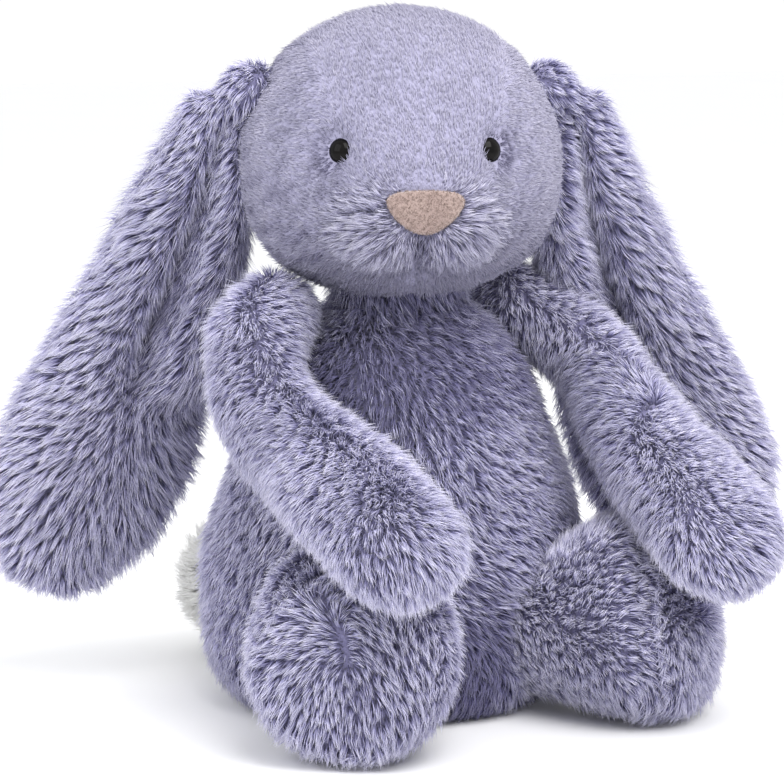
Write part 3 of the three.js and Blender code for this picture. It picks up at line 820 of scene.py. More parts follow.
@dataclass
class FaceComb(Comb):
    """Short pile combed back from the nose, longer on the cheeks, parted round eyes and nose."""

    nose: np.ndarray = None
    nose_points: np.ndarray = None
    eyes: list = field(default_factory=list)
    forward: np.ndarray = None
    across: np.ndarray = None
    panel: float = 19 * MM
    lip: float = 20 * MM
    eye_bare: float = 3.5 * MM
    nose_near: float = 16 * MM
    nose_bare: float = 0.5 * MM

    def lay(self, roots: Roots) -> np.ndarray:
        """Away from the nose, then falling towards the neck on the lower half."""
        offset = roots.points - self.nose
        side = offset @ self.across
        away = unit(offset)
        low = smooth(0.0, -30 * MM, offset[:, 2])[:, None]
        high = smooth(4 * MM, 14 * MM, offset[:, 2])
        panel = self.panel + 0.25 * np.maximum(offset[:, 2], 0)
        beside = (high * smooth(panel - 3 * MM, panel + 3 * MM, np.abs(side)))[:, None]
        outward = np.sign(side)[:, None] * self.across - 0.8 * self.forward
        outward = outward - np.array([0, 0, 0.15])
        upward = np.array([0, 0, 1.0]) - 0.3 * self.forward
        lay = away * (1 - beside) + beside * outward
        middle = (high * smooth(panel + 3 * MM, panel - 6 * MM, np.abs(side)))[:, None]
        lay = lay * (1 - 0.7 * middle) + 0.7 * middle * upward
        for eye in self.eyes:
            gap = roots.points - eye
            outer = self.across * np.sign((eye - self.nose) @ self.across)
            near = bump(np.linalg.norm(gap, axis=1) - 4 * MM, 7 * MM)
            near = (0.75 * near * smooth(-0.3, 0.4, unit(gap) @ outer))[:, None]
            lay = lay * (1 - near) + near * unit(gap)
        swirl = self.drift * wander(roots.points, self.scale, self.seed)
        return lay + low * np.array([0, 0, -self.hang]) + swirl

    def length(self, roots: Roots) -> np.ndarray:
        """Long on the muzzle and the cheeks, short on the brow and next to eyes and nose."""
        offset = roots.points - self.nose
        side = offset @ self.across
        down = -offset[:, 2]
        puff = bump(np.hypot(np.abs(side) - 13 * MM, down - 6 * MM), 14 * MM)
        puff *= smooth(-26 * MM, -8 * MM, offset @ self.forward)
        cheek = smooth(15 * MM, -25 * MM, offset[:, 2])
        back = smooth(-30 * MM, -70 * MM, offset @ self.forward)
        total = 0.78 + 0.3 * puff + 0.25 * cheek + 0.35 * back
        crease = 1 - 0.5 * bump(side, 2.0 * MM) * smooth(2 * MM, 8 * MM, down)
        for eye in self.eyes:
            gap = np.linalg.norm(roots.points - eye, axis=1)
            total = np.minimum(total, 0.8 + 0.5 * smooth(4.5 * MM, 11 * MM, gap))
        edge = np.linalg.norm(offset, axis=1)
        return total * crease * (0.55 + 0.45 * smooth(7 * MM, 14 * MM, edge))

    def tone(self, roots: Roots) -> np.ndarray:
        """Paler on the brow and one cheek as painted light; darker low on the face, beside the eyes
        and in the mouth's creases as painted shade; random patches on the cheeks.
        """
        offset = roots.points - self.nose
        side = offset @ self.across
        down = -offset[:, 2]
        # painted shade in the crease under the nose and along the lip line
        crease = bump(side, 2.2 * MM) * smooth(6 * MM, 10 * MM, down) * smooth(24 * MM, 18 * MM, down)
        lip = bump(down - self.lip, 2.2 * MM) * bump(side, 15 * MM)
        ahead = smooth(-26 * MM, -8 * MM, offset @ self.forward)
        puff = bump(np.hypot(np.abs(side) - 13 * MM, down - 6 * MM), 13 * MM)
        # painted light paler up the brow, painted shade darker low on the face
        height = 0.25 * smooth(0, 45 * MM, -down) - 0.08 * smooth(-5 * MM, -35 * MM, -down)
        patches = wander(roots.points, 1.6 * MM, self.seed + 3)[:, 1]
        height += 0.22 * patches * smooth(16 * MM, 30 * MM, np.abs(side))
        # painted light on one cheek
        height += 0.25 * smooth(20 * MM, 34 * MM, -side) * smooth(-20 * MM, 10 * MM, -down)
        # painted shade in the hollow beside each eye
        for eye in self.eyes:
            outer = self.across * np.sign((eye - self.nose) @ self.across)
            gap = np.linalg.norm(roots.points - eye - outer * 4 * MM, axis=1)
            height = height - 0.8 * bump(gap, 5.5 * MM)
        return super().tone(roots) + height + ahead * (0.12 * puff - 0.4 * crease - 0.4 * lip)

    def bare(self, roots: Roots) -> np.ndarray:
        """No pile under the eyes and the nose."""
        out = np.zeros(len(roots.points), bool)
        for eye in self.eyes:
            out |= np.linalg.norm(roots.points - eye, axis=1) < self.eye_bare
        offset = roots.points - self.nose
        near = np.flatnonzero(np.linalg.norm(offset, axis=1) < self.nose_near)
        flat = np.stack([self.across, [0, 0, 1]], 1)
        patch = (self.nose + 0.86 * (self.nose_points - self.nose)) @ flat
        gap = np.linalg.norm((roots.points[near] @ flat)[:, None] - patch[None], axis=2).min(1)
        out[near] |= gap < self.nose_bare
        return out

    def puffs(self, roots: Roots) -> np.ndarray:
        """How far each root is in one of the two muzzle puffs, from 0 to 1."""
        offset = roots.points - self.nose
        side, down = np.abs(offset @ self.across), -offset[:, 2]
        inside = bump(np.hypot((side - 12 * MM) * 0.8, down - 5 * MM), 11 * MM)
        inside = smooth(0.04, 0.8, inside) * smooth(self.lip, self.lip - 5 * MM, down)
        return inside * smooth(-30 * MM, -14 * MM, offset @ self.forward)


@dataclass
class MuzzleComb(FaceComb):
    """The long tufts of the two muzzle puffs."""

    def length(self, roots: Roots) -> np.ndarray:
        """Full length at the middle of a puff, short where it meets the face."""
        edge = np.linalg.norm(roots.points - self.nose, axis=1)
        return (0.45 + 0.55 * self.puffs(roots)) * (0.6 + 0.4 * smooth(7 * MM, 14 * MM, edge))

    def tone(self, roots: Roots) -> np.ndarray:
        """Pale, with painted shade in the crease under the nose."""
        offset = roots.points - self.nose
        crease = bump(offset @ self.across, 1.6 * MM) * smooth(5 * MM, 9 * MM, -offset[:, 2])
        return Comb.tone(self, roots) + 0.1 - 0.4 * crease

    def bare(self, roots: Roots) -> np.ndarray:
        """Bare outside the puffs, thinning out towards their edges."""
        dice = np.random.default_rng(self.seed).uniform(0.02, 1, len(roots.points))
        return super().bare(roots) | (dice > self.puffs(roots))


@dataclass
class Head:
    """The head: skin, filling, nose, eyes and the pile combed round them."""

    voxel: float = 3.2 * MM
    dimple_depth: float = 2.6 * MM
    dimple_reach: float = 7 * MM
    ridge_height: float = 3.6 * MM
    ridge_reach: float = 7 * MM
    hollow_depth: float = 2.2 * MM
    washer_cover: float = 1.2 * MM
    eye_sink: float = 2.6 * MM
    puff_height: float = 4.5 * MM
    puff_reach: float = 10 * MM
    puff_side: float = 12 * MM
    puff_drop: float = 8 * MM
    crease_depth: float = 3.6 * MM
    lip_drop: float = 20 * MM
    jowl: float = 4 * MM
    eye_radius: float = 4.2 * MM
    eye_dome: float = 3.3 * MM
    shank: float = 9 * MM
    pile: Pile = Pile(3.7 * MM, 0.29 * MM, 2.65, rise=52, fall=78, tuft=1.6 * MM, gather=0.25,
                      turn=0.12, stray=0.12, mottle=0.14, scatter=0.06, core=0.08)
    muzzle: Pile = Pile(7.4 * MM, 0.30 * MM, 3.0, rise=34, fall=68, tuft=2.5 * MM, gather=0.72,
                        turn=0.3, stray=0.08, uneven=0.3, core=0.6)
    nap: Pile = Pile(1.0 * MM, 0.20 * MM, 8.0, rise=20, fall=50, tuft=0.7 * MM, gather=0.3,
                     turn=3.0, stray=1.0, mottle=0.6, scatter=0.2, core=0.1)
    nose_shift: float = 1.2 * MM
    nose_stretch: float = 1.05

    def __post_init__(self) -> None:
        """Reads the face's places off the frame."""
        self.nose = middle_of("nose_patch")
        self.centre = middle_of("head_cover")
        ahead = self.nose - self.centre
        ahead[2] = 0
        self.forward = unit(ahead)
        self.across = np.cross(self.forward, [0, 0, 1])
        self.eyes = [self._eye_place(side) for side in Side]

    def _eye_place(self, side: Side) -> tuple[np.ndarray, np.ndarray]:
        """The middle of an eye's rim and the way it looks."""
        node = f"eye_{side.word}"
        look = thin_axis(f"eye_washer_{side.word}")
        middle = middle_of(f"eye_washer_{side.word}")
        look = look if look @ (middle - self.centre) > 0 else -look
        points = points_of(frame["nodes"][node])
        top = ((points - middle) @ look).max()
        return middle + look * (top - self.eye_dome - self.eye_sink), look

    def skin(self) -> bpy.types.Object:
        """The head's sewn skin, before it is blown up."""
        return cloth_from("head_skin", ["head_cover", "head_stuffing"], self.voxel, 10)

    def model(self, skin: bpy.types.Object) -> None:
        """Draws in the eyes and the mouth and fills out the muzzle and the jowls."""
        points, normals = points_of(skin), normals_of(skin)
        push = np.zeros(len(points))
        offset = points - self.nose
        side, down = offset @ self.across, -offset[:, 2]
        front = smooth(-45 * MM, -15 * MM, offset @ self.forward)
        for sign in (-1, 1):
            gap = np.hypot(side - sign * self.puff_side, down - self.puff_drop)
            push += self.puff_height * bump(gap, self.puff_reach) * front
        groove = smooth(3 * MM, 9 * MM, down) * smooth(24 * MM, 18 * MM, down)
        push -= self.crease_depth * bump(side, 3.0 * MM) * groove * front
        lip = bump(down - self.lip_drop, 3.2 * MM) * bump(side, 15 * MM)
        push -= self.crease_depth * lip * front
        low = bump(down - 16 * MM, 22 * MM) * smooth(22 * MM, 42 * MM, np.abs(side))
        push += self.jowl * low * smooth(-70 * MM, -30 * MM, offset @ self.forward)
        for eye, _ in self.eyes:
            gap = np.linalg.norm(points - eye, axis=1)
            push -= self.dimple_depth * bump(gap, self.dimple_reach)
            outward = self.across * np.sign((eye - self.nose) @ self.across)
            for place, height in ((-9 * MM, self.ridge_height), (7 * MM, -self.hollow_depth)):
                gap = np.linalg.norm(points - eye - outward * place, axis=1)
                push += height * bump(gap, self.ridge_reach)
        move_points(skin, self._over_washers(points + push[:, None] * normals))

    def _over_washers(self, points: np.ndarray) -> np.ndarray:
        """Lifts the skin wherever it would sink to the washers that hold the eyes."""
        for side, (_, look) in zip(Side, self.eyes):
            node = f"eye_washer_{side.word}"
            washer = points_of(frame["nodes"][node]) - middle_of(node)
            offset = points - middle_of(node)
            height = offset @ look
            gap = np.linalg.norm(offset - np.outer(height, look), axis=1)
            wide = np.linalg.norm(washer, axis=1).max()
            lift = np.maximum((washer @ look).max() + self.washer_cover - height, 0)
            near = smooth(wide + 4 * MM, wide + 1.5 * MM, gap) * (height > -12 * MM)
            points = points + np.outer(lift * near, look)
        return points

    def dress(self, skin: bpy.types.Object) -> None:
        """Adds everything that goes on the modelled skin."""
        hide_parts("head_cover")
        dress(skin, Finish.HEAD_KNIT, "head")
        for side, (eye, look) in zip(Side, self.eyes):
            self._eye(side, eye, look)
            washer = frame["nodes"][f"eye_washer_{side.word}"]
            washer.data.materials.clear()
            washer.data.materials.append(Finish.WASHER.material())
        nose = self._nose(skin)
        face = dict(source=self.nose, nose=self.nose, nose_points=points_of(nose),
                    eyes=[eye for eye, _ in self.eyes], forward=self.forward,
                    across=self.across, hang=0.7, drift=0.2, seed=11, lip=self.lip_drop)
        Coat("head_pile", skin, self.pile, Finish.SHORT_PILE, "head", "short_plush",
             21).grow(FaceComb(**face))
        Coat("muzzle_pile", skin, self.muzzle, Finish.MUZZLE_PILE, "head", "short_plush",
             23).grow(MuzzleComb(**face))

    def _eye(self, side: Side, rim: np.ndarray, look: np.ndarray) -> None:
        """A turned safety eye: a low dome, a rolled rim and a ridged shank."""
        r, dome = self.eye_radius, self.eye_dome
        profile = [(r * math.cos(t), dome * math.sin(t))
                   for t in np.linspace(math.pi / 2, 0, 14)]
        profile += [(r * 0.97, -0.5 * MM), (r * 0.8, -0.8 * MM), (1.5 * MM, -0.8 * MM)]
        ridges = 5
        for k in range(ridges):
            z = -1.2 * MM - k * (self.shank - 2 * MM) / ridges
            profile += [(1.5 * MM, z), (1.28 * MM, z - 0.5 * MM)]
        profile += [(1.1 * MM, -self.shank)]
        eye = lathe(f"safety_eye_{side.word}", profile, rim, look, 40)
        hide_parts(f"eye_{side.word}")
        dress(eye, Finish.EYE, "head")
        LOG.info("%s: dome %.1f mm across", eye.name, 2 * r / MM)

    def _nose(self, skin: bpy.types.Object) -> bpy.types.Object:
        """The suede nose, laid on the skin with a soft turned edge and its own nap."""
        nose = cloth_from("nose_suede", ["nose_patch"], 0.55 * MM, 8)
        points = points_of(nose)
        offset = points - self.nose
        side, up = offset @ self.across, offset[:, 2]
        low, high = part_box("nose_patch")
        tall = (high.z - low.z) / 2
        wide = np.abs(side).max()
        crown = np.clip(1 - (side / wide) ** 2 * 0.8 - (up / tall) ** 2 * 0.6, 0, 1)
        points += self.forward * ((1.0 * MM + 1.6 * MM * crown)[:, None])
        points += self.across * ((side * (self.nose_stretch - 1) - self.nose_shift)[:, None])
        move_points(nose, points)
        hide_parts("nose_patch")
        dress(nose, Finish.SUEDE, "head")
        comb = Comb(source=self.centre, hang=0.2, drift=1.0, scale=3 * MM, seed=17)
        Coat("nose_nap", nose, self.nap, Finish.NAP, "head", "nose_suede", 19).grow(comb)
        return nose


def lathe(name: str, profile: list[tuple[float, float]], base: np.ndarray, axis: np.ndarray,
          sides: int) -> bpy.types.Object:
    """Turns a profile round an axis, closed at both ends.

    Args:
        name: The object's name.
        profile: Radius and height pairs, from the top to the bottom.
        base: Where height 0 is.
        axis: The way up.
        sides: Steps round.
    Returns:
        The turned object.
    """
    turn = Vector((0, 0, 1)).rotation_difference(Vector(axis)).to_matrix()
    points, faces = [], []
    for radius, height in profile:
        for k in range(sides):
            angle = math.tau * k / sides
            local = Vector((radius * math.cos(angle), radius * math.sin(angle), height))
            points.append(Vector(base) + turn @ local)
    rings = len(profile)
    for row in range(rings - 1):
        for k in range(sides):
            a, b = row * sides + k, row * sides + (k + 1) % sides
            faces.append((a, a + sides, b + sides, b))
    faces.append(tuple(range(sides)))
    faces.append(tuple(reversed(range((rings - 1) * sides, rings * sides))))
    return mesh_object(name, np.array(points), faces)


# ---------------------------------------------------------------- ears

@dataclass
class EarShape:
    """An ear's own directions: along it, across it to its outer edge, and out of its front."""

    side: Side
    root: np.ndarray
    along: np.ndarray
    across: np.ndarray
    front: np.ndarray
    length: float
    crease: float = -0.15

    @staticmethod
    def read(side: Side, points: np.ndarray) -> "EarShape":
        """Finds the directions of an ear from its points."""
        root = pivot_of(f"ear_{side.word}_lift")
        reach = np.linalg.norm(points - root, axis=1)
        tip = points[reach > reach.max() * 0.95].mean(0)
        along = unit(tip - root)
        spread = points - points.mean(0)
        spread = spread - (spread @ along)[:, None] * along
        axes = np.linalg.svd(spread, full_matrices=False)[2]
        across = axes[0] if axes[0][0] * side.value > 0 else -axes[0]
        front = np.cross(along, across)
        front = front if front[1] < 0 else -front
        return EarShape(side, root, along, across, front, reach.max())

    def local(self, points: np.ndarray) -> tuple[np.ndarray, np.ndarray, np.ndarray]:
        """Share of the length, share of the half width (1 at the outer edge), and depth."""
        offset = points - self.root
        s = offset @ self.along / self.length
        v = offset @ self.across
        depth = offset @ self.front
        bins = np.clip((s * EAR_BINS).astype(int), 0, EAR_BINS - 1)
        rows = [v[bins == k] for k in range(EAR_BINS)]
        low = np.array([row.min() if len(row) else -1 * MM for row in rows])
        high = np.array([row.max() if len(row) else 1 * MM for row in rows])
        where = (np.arange(EAR_BINS) + 0.5) / EAR_BINS
        middle = np.interp(s, where, (low + high) / 2)
        half = np.maximum(np.interp(s, where, (high - low) / 2), 4 * MM)
        return s, (v - middle) / half, depth


@dataclass
class EarComb(Comb):
    """Pile that runs down an ear and out to its edges from the fold."""

    shape: EarShape = None
    spread: float = 1.5

    def lay(self, roots: Roots) -> np.ndarray:
        """Down the ear, fanned out from the middle of the bowl and of the flap."""
        s, u, _ = self.shape.local(roots.points)
        folded = smooth(0.66, 0.5, s)
        on_flap = folded * smooth(self.shape.crease + 0.06, self.shape.crease - 0.06, u)
        bowl = np.clip(u - 0.1 * folded, -1, 1)
        flap = np.clip(1.6 * (u + 0.62), -1, 1)
        fan = (self.spread * (bowl * (1 - on_flap) + flap * on_flap))[:, None] * self.shape.across
        swirl = self.drift * wander(roots.points, self.scale, self.seed)
        return self.shape.along + fan + swirl + np.array([0, 0, -self.hang])

    def length(self, roots: Roots) -> np.ndarray:
        """Longer towards the edges and the tip."""
        s, u, _ = self.shape.local(roots.points)
        near_root = 0.6 + 0.4 * smooth(0.0, 0.14, s)
        sunk = 1 - 0.35 * self.fold(roots)
        return super().length(roots) * near_root * sunk * (1 + 0.12 * np.abs(u)) * (1 + 0.1 * s)

    def fold(self, roots: Roots) -> np.ndarray:
        """How far each root lies down in the fold, from 0 to 1."""
        s, u, _ = self.shape.local(roots.points)
        return bump(u - self.shape.crease - 0.16, 0.15) * smooth(0.06, 0.2, s) * smooth(0.68, 0.5, s)

    def tone(self, roots: Roots) -> np.ndarray:
        """Painted shade down in the fold, painted light along the outer edge."""
        _, u, _ = self.shape.local(roots.points)
        return super().tone(roots) - 0.6 * self.fold(roots) + 0.15 * smooth(0.3, 0.9, u)


@dataclass
class Ear:
    """A long unstuffed ear of two panels, folded lengthwise."""

    side: Side
    voxel: float = 2.8 * MM
    valley: float = 10 * MM
    flap: float = 12 * MM
    curl: float = 3 * MM
    root_draw: float = 2.2 * MM
    root_narrow: float = 0.08
    pile: Pile = Pile(7.8 * MM, 0.33 * MM, 2.5, rise=34, fall=66, tuft=2.7 * MM, gather=0.76,
                      turn=0.24, stray=0.08, uneven=0.28, core=0.75)

    def skin(self) -> bpy.types.Object:
        """The two panels as one flat bag."""
        word = self.side.word
        return cloth_from(f"ear_{word}_skin", [f"ear_{word}_back", f"ear_{word}_lining"],
                          self.voxel, 5)

    def model(self, skin: bpy.types.Object) -> None:
        """Folds the ear lengthwise, curls its outer edge back and draws its root to the head."""
        points = points_of(skin)
        shape = EarShape.read(self.side, points)
        s, u, _ = shape.local(points)
        open_part = smooth(0.03, 0.16, s) * smooth(0.64, 0.5, s)
        facing = 0.3 + 0.7 * smooth(-0.2, 0.4, normals_of(skin) @ shape.front)
        over = smooth(shape.crease + 0.05, shape.crease - 0.12, u) * smooth(-1.25, -0.6, u)
        fold = self.flap * over - self.valley * bump(u - shape.crease - 0.22, 0.2)
        body = -self.curl * np.clip(u, 0, 1) ** 2 * smooth(0.1, 0.3, s)
        ripple = 1.2 * MM * wander(points, 22 * MM, 31)[:, 0]
        push = fold * open_part * facing + body + ripple
        from_root = points - shape.root
        near = smooth(20 * MM, 6 * MM, np.linalg.norm(from_root, axis=1))[:, None]
        inward = unit(middle_of("head_cover") - shape.root)
        drawn = near * (self.root_draw * inward - self.root_narrow * from_root)
        move_points(skin, points + push[:, None] * shape.front + drawn)
        self.shape = shape

    def dress(self, skin: bpy.types.Object) -> None:
        """Adds the pile."""
        word = self.side.word
        body = f"ear_{word}"
        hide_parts(f"ear_{word}_back", f"ear_{word}_lining")
        dress(skin, Finish.LAVENDER_KNIT, body)
        comb = EarComb(source=self.shape.root, hang=0.25, drift=0.3, seed=41, shape=self.shape)
        seed = 50 + self.side.value
        Coat(f"ear_{word}_pile", skin, self.pile, Finish.LONG_PILE, body, "long_plush",
             seed).grow(comb)


# ---------------------------------------------------------------- arms, legs, tail, trunk

@dataclass
class Arm:
    """A stuffed arm with its pile combed down to the paw."""

    side: Side
    voxel: float = 3.2 * MM
    slim: float = 2.6 * MM
    pile: Pile = Pile(6.6 * MM, 0.33 * MM, 2.7, rise=29, fall=60, tuft=2.5 * MM, gather=0.74,
                      turn=0.26, stray=0.08, uneven=0.28)

    def skin(self) -> bpy.types.Object:
        """The arm's sewn skin."""
        word = self.side.word
        return cloth_from(f"arm_{word}_skin", [f"arm_{word}_cover", f"arm_{word}_stuffing"],
                          self.voxel, 8)

    def model(self, skin: bpy.types.Object) -> None:
        """Slims the upper arm and gives it the small lumps of loose stuffing."""
        points, normals = points_of(skin), normals_of(skin)
        lumps = 1.0 * MM * wander(points, 16 * MM, 61)[:, :1]
        far = np.linalg.norm(points - pivot_of(f"arm_{self.side.word}_raise"), axis=1)
        upper = smooth(85 * MM, 45 * MM, far)[:, None]
        move_points(skin, points + (lumps - self.slim * upper) * normals)

    def dress(self, skin: bpy.types.Object) -> None:
        """Adds the pile."""
        word = self.side.word
        body = f"arm_{word}"
        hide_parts(f"arm_{word}_cover")
        dress(skin, Finish.LAVENDER_KNIT, body)
        above = pivot_of(f"arm_{word}_raise") + np.array([0, 0, 20 * MM])
        comb = Comb(source=above, parting=(-0.48, -0.7, 0.18), hang=0.45,
                    drift=0.55, seed=63)
        Coat(f"arm_{word}_pile", skin, self.pile, Finish.LONG_PILE, body, "long_plush",
             70 + self.side.value).grow(comb)


@dataclass
class SoleComb(Comb):
    """Pile combed out from the middle of the sole and back along the leg."""

    middle: np.ndarray = None
    facing: np.ndarray = None

    def lay(self, roots: Roots) -> np.ndarray:
        """Outwards on the sole, backwards on the leg."""
        offset = roots.points - self.middle
        on_sole = smooth(0.55, 0.85, roots.normals @ self.facing)[:, None]
        out = unit(along_surface(offset, np.broadcast_to(self.facing, offset.shape)))
        swirl = self.drift * wander(roots.points, self.scale, self.seed)
        down = np.array([0, 0, -self.hang])
        return on_sole * (0.7 * out) + (1 - on_sole) * (0.6 * self.facing) + down + swirl


@dataclass
class Leg:
    """A stuffed leg with a round sole sewn on."""

    side: Side
    voxel: float = 3.2 * MM
    sole_crown: float = 3.5 * MM
    seam_depth: float = 2.2 * MM
    pucker_depth: float = 2.2 * MM
    instep: float = 4 * MM
    pile: Pile = Pile(6.5 * MM, 0.33 * MM, 2.6, rise=30, fall=60, tuft=2.6 * MM, gather=0.72,
                      turn=0.32, stray=0.09, uneven=0.28)

    def skin(self) -> bpy.types.Object:
        """Leg and sole as one skin."""
        word = self.side.word
        nodes = [f"leg_{word}_cover", f"leg_{word}_stuffing", f"foot_{word}_sole"]
        return cloth_from(f"leg_{word}_skin", nodes, self.voxel, 8)

    def model(self, skin: bpy.types.Object) -> None:
        """Crowns the sole, draws in its seam and puckers it."""
        word = self.side.word
        self.middle = middle_of(f"foot_{word}_sole")
        facing = thin_axis(f"foot_{word}_sole")
        self.facing = facing if facing[1] < 0 else -facing
        points, normals = points_of(skin), normals_of(skin)
        offset = points - self.middle
        out = np.linalg.norm(along_surface(offset, np.broadcast_to(self.facing, offset.shape)),
                             axis=1)
        ahead = offset @ self.facing
        rim = out[np.abs(ahead) < 3 * MM].max()
        crown = self.sole_crown * np.clip(1 - (out / rim) ** 2, 0, 1) * smooth(-2 * MM, 1 * MM, ahead)
        ring = bump(np.hypot(out - rim, ahead + 2.5 * MM), 3.5 * MM)
        pucker = bump(np.abs(wander(points, 11 * MM, 81)[:, 1]), 0.18) * smooth(0, 1, out / rim)
        push = -self.seam_depth * ring - self.pucker_depth * 0.5 * pucker * (ahead > -2 * MM)
        behind = smooth(-4 * MM, -12 * MM, ahead) * smooth(-40 * MM, -20 * MM, ahead)
        push += self.instep * behind * smooth(0.3, 0.9, normals[:, 2])
        move_points(skin, points + crown[:, None] * self.facing + push[:, None] * normals)

    def dress(self, skin: bpy.types.Object) -> None:
        """Adds the pile."""
        word = self.side.word
        body = f"leg_{word}"
        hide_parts(f"leg_{word}_cover", f"foot_{word}_sole")
        dress(skin, Finish.LAVENDER_KNIT, body)
        comb = SoleComb(source=self.middle, hang=0.5, drift=0.5, seed=83, middle=self.middle,
                        facing=self.facing)
        Coat(f"leg_{word}_pile", skin, self.pile, Finish.LONG_PILE, body, "long_plush",
             90 + self.side.value).grow(comb)


@dataclass
class Tail:
    """A white fluffy ball."""

    voxel: float = 3.2 * MM
    shrink: float = 3 * MM
    pile: Pile = Pile(8.5 * MM, 0.45 * MM, 1.8, rise=22, fall=55, tuft=4.0 * MM, gather=0.5,
                      turn=0.6, uneven=0.3)

    def skin(self) -> bpy.types.Object:
        """The tail's sewn skin."""
        return cloth_from("tail_skin", ["tail_cover", "tail_stuffing"], self.voxel, 8,
                          self.shrink)

    def model(self, skin: bpy.types.Object) -> None:
        """Leaves the ball as it was blown up."""

    def dress(self, skin: bpy.types.Object) -> None:
        """Adds the fluff."""
        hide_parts("tail_cover")
        dress(skin, Finish.WHITE_KNIT, "tail")
        comb = Comb(source=pivot_of("tail_lift"), hang=0.2, drift=0.7, scale=12 * MM, seed=101)
        Coat("tail_pile", skin, self.pile, Finish.TAIL_PILE, "tail", "tail_fluff", 103).grow(comb)


@dataclass
class TrunkComb(Comb):
    """Pile brushed down the trunk, with slow swirls."""

    def lay(self, roots: Roots) -> np.ndarray:
        """Down, wandering."""
        swirl = self.drift * wander(roots.points, self.scale, self.seed)
        outward = roots.points * np.array([1, 1, 0])
        return np.array([0, 0, -1.0]) + 0.25 * unit(outward) + swirl

    def length(self, roots: Roots) -> np.ndarray:
        """Longer round the neck."""
        return super().length(roots) * (1 + 0.3 * smooth(105 * MM, 125 * MM, roots.points[:, 2]))

    def tone(self, roots: Roots) -> np.ndarray:
        """Painted shade on the chest and between the legs."""
        x, y, z = roots.points.T
        ahead = smooth(0, -20 * MM, y)
        chest = smooth(80 * MM, 112 * MM, z)
        lap = 1.4 * bump(x, 18 * MM) * smooth(55 * MM, 20 * MM, z)
        return super().tone(roots) - 0.55 * ahead * np.maximum(chest, lap)

    def bare(self, roots: Roots) -> np.ndarray:
        """No pile on the flat seat, which is pressed to the shelf."""
        return (roots.normals[:, 2] < -0.9) & (roots.points[:, 2] < 2 * MM)


@dataclass
class Trunk:
    """The pear-shaped trunk with its seat panel and the pellet bag."""

    voxel: float = 4 * MM
    pile: Pile = Pile(7.0 * MM, 0.38 * MM, 1.65, rise=34, fall=66, tuft=2.8 * MM, gather=0.72,
                      turn=0.34, stray=0.1, uneven=0.28)

    def skin(self) -> bpy.types.Object:
        """Trunk and seat as one skin."""
        return cloth_from("body_skin", ["body_cover", "body_stuffing", "bean_pouch", "seat_panel"],
                          self.voxel, 6)

    def model(self, skin: bpy.types.Object) -> None:
        """Lets the belly sag in soft lumps and keeps the seat flat."""
        points, normals = points_of(skin), normals_of(skin)
        lumps = 1.2 * MM * wander(points, 24 * MM, 111)[:, :1]
        moved = points + lumps * normals
        moved[:, 2] = np.maximum(moved[:, 2], 0)
        move_points(skin, moved)

    def dress(self, skin: bpy.types.Object) -> None:
        """Adds the pile."""
        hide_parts("body_cover", "seat_panel")
        dress(skin, Finish.LAVENDER_KNIT, "trunk")
        comb = TrunkComb(source=np.zeros(3), drift=0.5, scale=22 * MM, seed=113)
        Coat("body_pile", skin, self.pile, Finish.LONG_PILE, "trunk", "long_plush", 115).grow(comb)


@dataclass
class Filling:
    """What is inside a piece: a loose lump of fibre, or the pellet bag."""

    node: str
    body: str
    finish: Finish = Finish.FIBRE
    slot: str = "fibre_fill"
    lumps: float = 0.8 * MM

    def build(self) -> None:
        """Makes the lump from its CAD solid."""
        piece = cloth_from(f"{self.node}_lump", [self.node], 4 * MM, 4, 1.5 * MM)
        points, normals = points_of(piece), normals_of(piece)
        knots = wander(points, 7 * MM, len(self.node))[:, :1]
        move_points(piece, points - self.lumps * np.abs(knots) * normals)
        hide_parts(self.node)
        dress(piece, self.finish, self.body)
        LOG.info("%s: %d faces", piece.name, len(piece.data.polygons))


# ---------------------------------------------------------------- studio

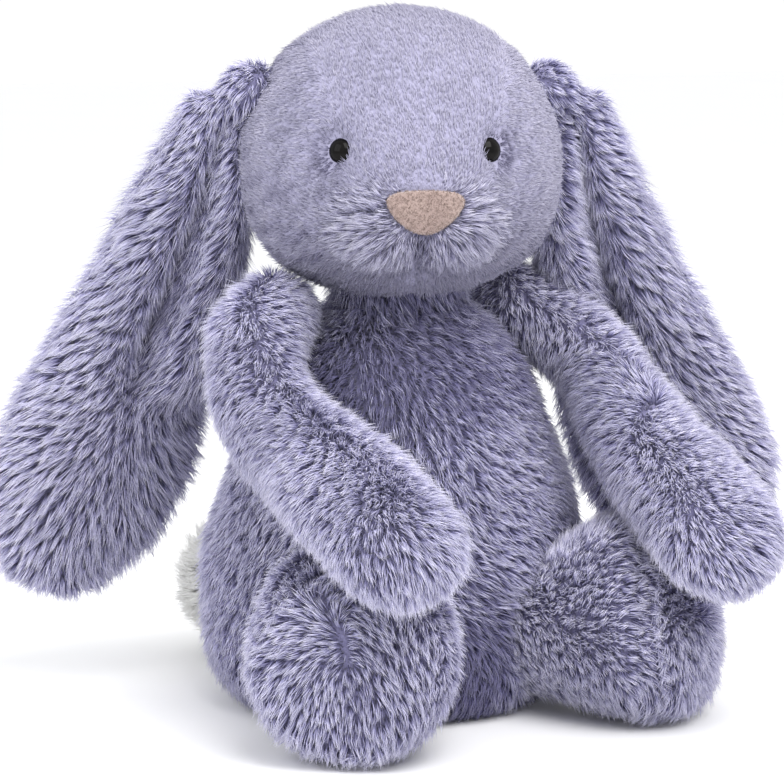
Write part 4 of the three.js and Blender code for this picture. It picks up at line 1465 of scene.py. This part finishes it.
@dataclass
class Studio:
    """Pale floor, soft light and the camera."""

    azimuth: float = -30
    elevation: float = 7.5
    distance: float = 1.0
    field_of_view: float = 14.52
    aim: Vector = field(default_factory=lambda: Vector((0, 0, 0.100)))
    world: float = 1.03
    key: float = 12.0
    fill: float = 5.5
    floor_half: float = 6.0

    def away(self, azimuth: float, elevation: float) -> Vector:
        """A direction from the toy, given as a camera's azimuth and elevation."""
        a, e = math.radians(azimuth), math.radians(elevation)
        return Vector((math.sin(a) * math.cos(e), -math.cos(a) * math.cos(e), math.sin(e)))

    def camera(self) -> None:
        """The camera."""
        lens = bpy.data.cameras.new("camera")
        lens.angle = math.radians(self.field_of_view)
        lens.clip_start = 0.05
        made = bpy.data.objects.new("camera", lens)
        back = self.away(self.azimuth, self.elevation)
        made.location = self.aim + back * self.distance
        made.rotation_euler = back.to_track_quat("Z", "Y").to_euler()
        bpy.context.scene.collection.objects.link(made)
        bpy.context.scene.camera = made

    def lamp(self, name: str, azimuth: float, elevation: float, reach: float, size: float,
             power: float, colour: RGB) -> None:
        """A square soft light that looks at the toy."""
        light = bpy.data.lights.new(name, "AREA")
        light.size = size
        light.energy = power
        light.color = colour
        made = bpy.data.objects.new(name, light)
        back = self.away(azimuth, elevation)
        made.location = self.aim + back * reach
        made.rotation_euler = back.to_track_quat("Z", "Y").to_euler()
        bpy.context.scene.collection.objects.link(made)

    def floor(self) -> None:
        """A wide pale floor."""
        g = Graph("studio_floor")
        cloud = g.noise(3)
        colour = g.ramp(cloud, [(0.3, (0.955, 0.96, 0.97)), (0.7, (0.965, 0.97, 0.98))])
        wide = self.floor_half
        corners = [(-wide, -wide, 0), (wide, -wide, 0), (wide, wide, 0), (-wide, wide, 0)]
        floor = mesh_object("studio_floor_sheet", np.array(corners), [(0, 1, 2, 3)])
        floor.location.z = -0.1 * MM
        floor.data.materials.append(g.finish(Base_Color=colour, Roughness=0.6))

    def build(self) -> None:
        """Sets everything up."""
        self.camera()
        self.floor()
        world = bpy.data.worlds.new("studio")
        world.use_nodes = True
        world.node_tree.nodes["Background"].inputs["Color"].default_value = (1.0, 1.0, 1.0, 1)
        world.node_tree.nodes["Background"].inputs["Strength"].default_value = self.world
        bpy.context.scene.world = world
        bpy.context.scene.view_settings.view_transform = "Standard"
        self.lamp("key", 0, 52, 1.1, 0.8, self.key, (1.0, 0.99, 0.97))
        self.lamp("fill", -85, 30, 1.4, 1.0, self.fill, (0.97, 0.98, 1.0))


# ---------------------------------------------------------------- everything

def main() -> None:
    """Builds the studio and the toy."""
    logging.basicConfig(level=logging.INFO, format="%(message)s")
    Studio().build()
    parts = [Trunk(), Head(), *(Ear(side) for side in Side), *(Arm(side) for side in Side),
             *(Leg(side) for side in Side), Tail()]
    skins = [part.skin() for part in parts]
    reach = {Trunk: 4 * MM, Head: 3 * MM, Arm: 2 * MM, Leg: 3 * MM, Tail: 1 * MM, Ear: 0.5 * MM}
    blow_up({skin: reach[type(part)] for part, skin in zip(parts, skins)})
    for part, skin in zip(parts, skins):
        part.model(skin)
        part.dress(skin)
        LOG.info("%s: %d faces", skin.name, len(skin.data.polygons))
    for node, body in (("body_stuffing", "trunk"), ("head_stuffing", "head"),
                       ("tail_stuffing", "tail"), ("arm_right_stuffing", "arm_right"),
                       ("arm_left_stuffing", "arm_left"), ("leg_right_stuffing", "leg_right"),
                       ("leg_left_stuffing", "leg_left")):
        Filling(node, body).build()
    Filling("bean_pouch", "trunk", Finish.COTTON, "pouch_cotton", 0.4 * MM).build()


if __name__ == "__main__":
    main()
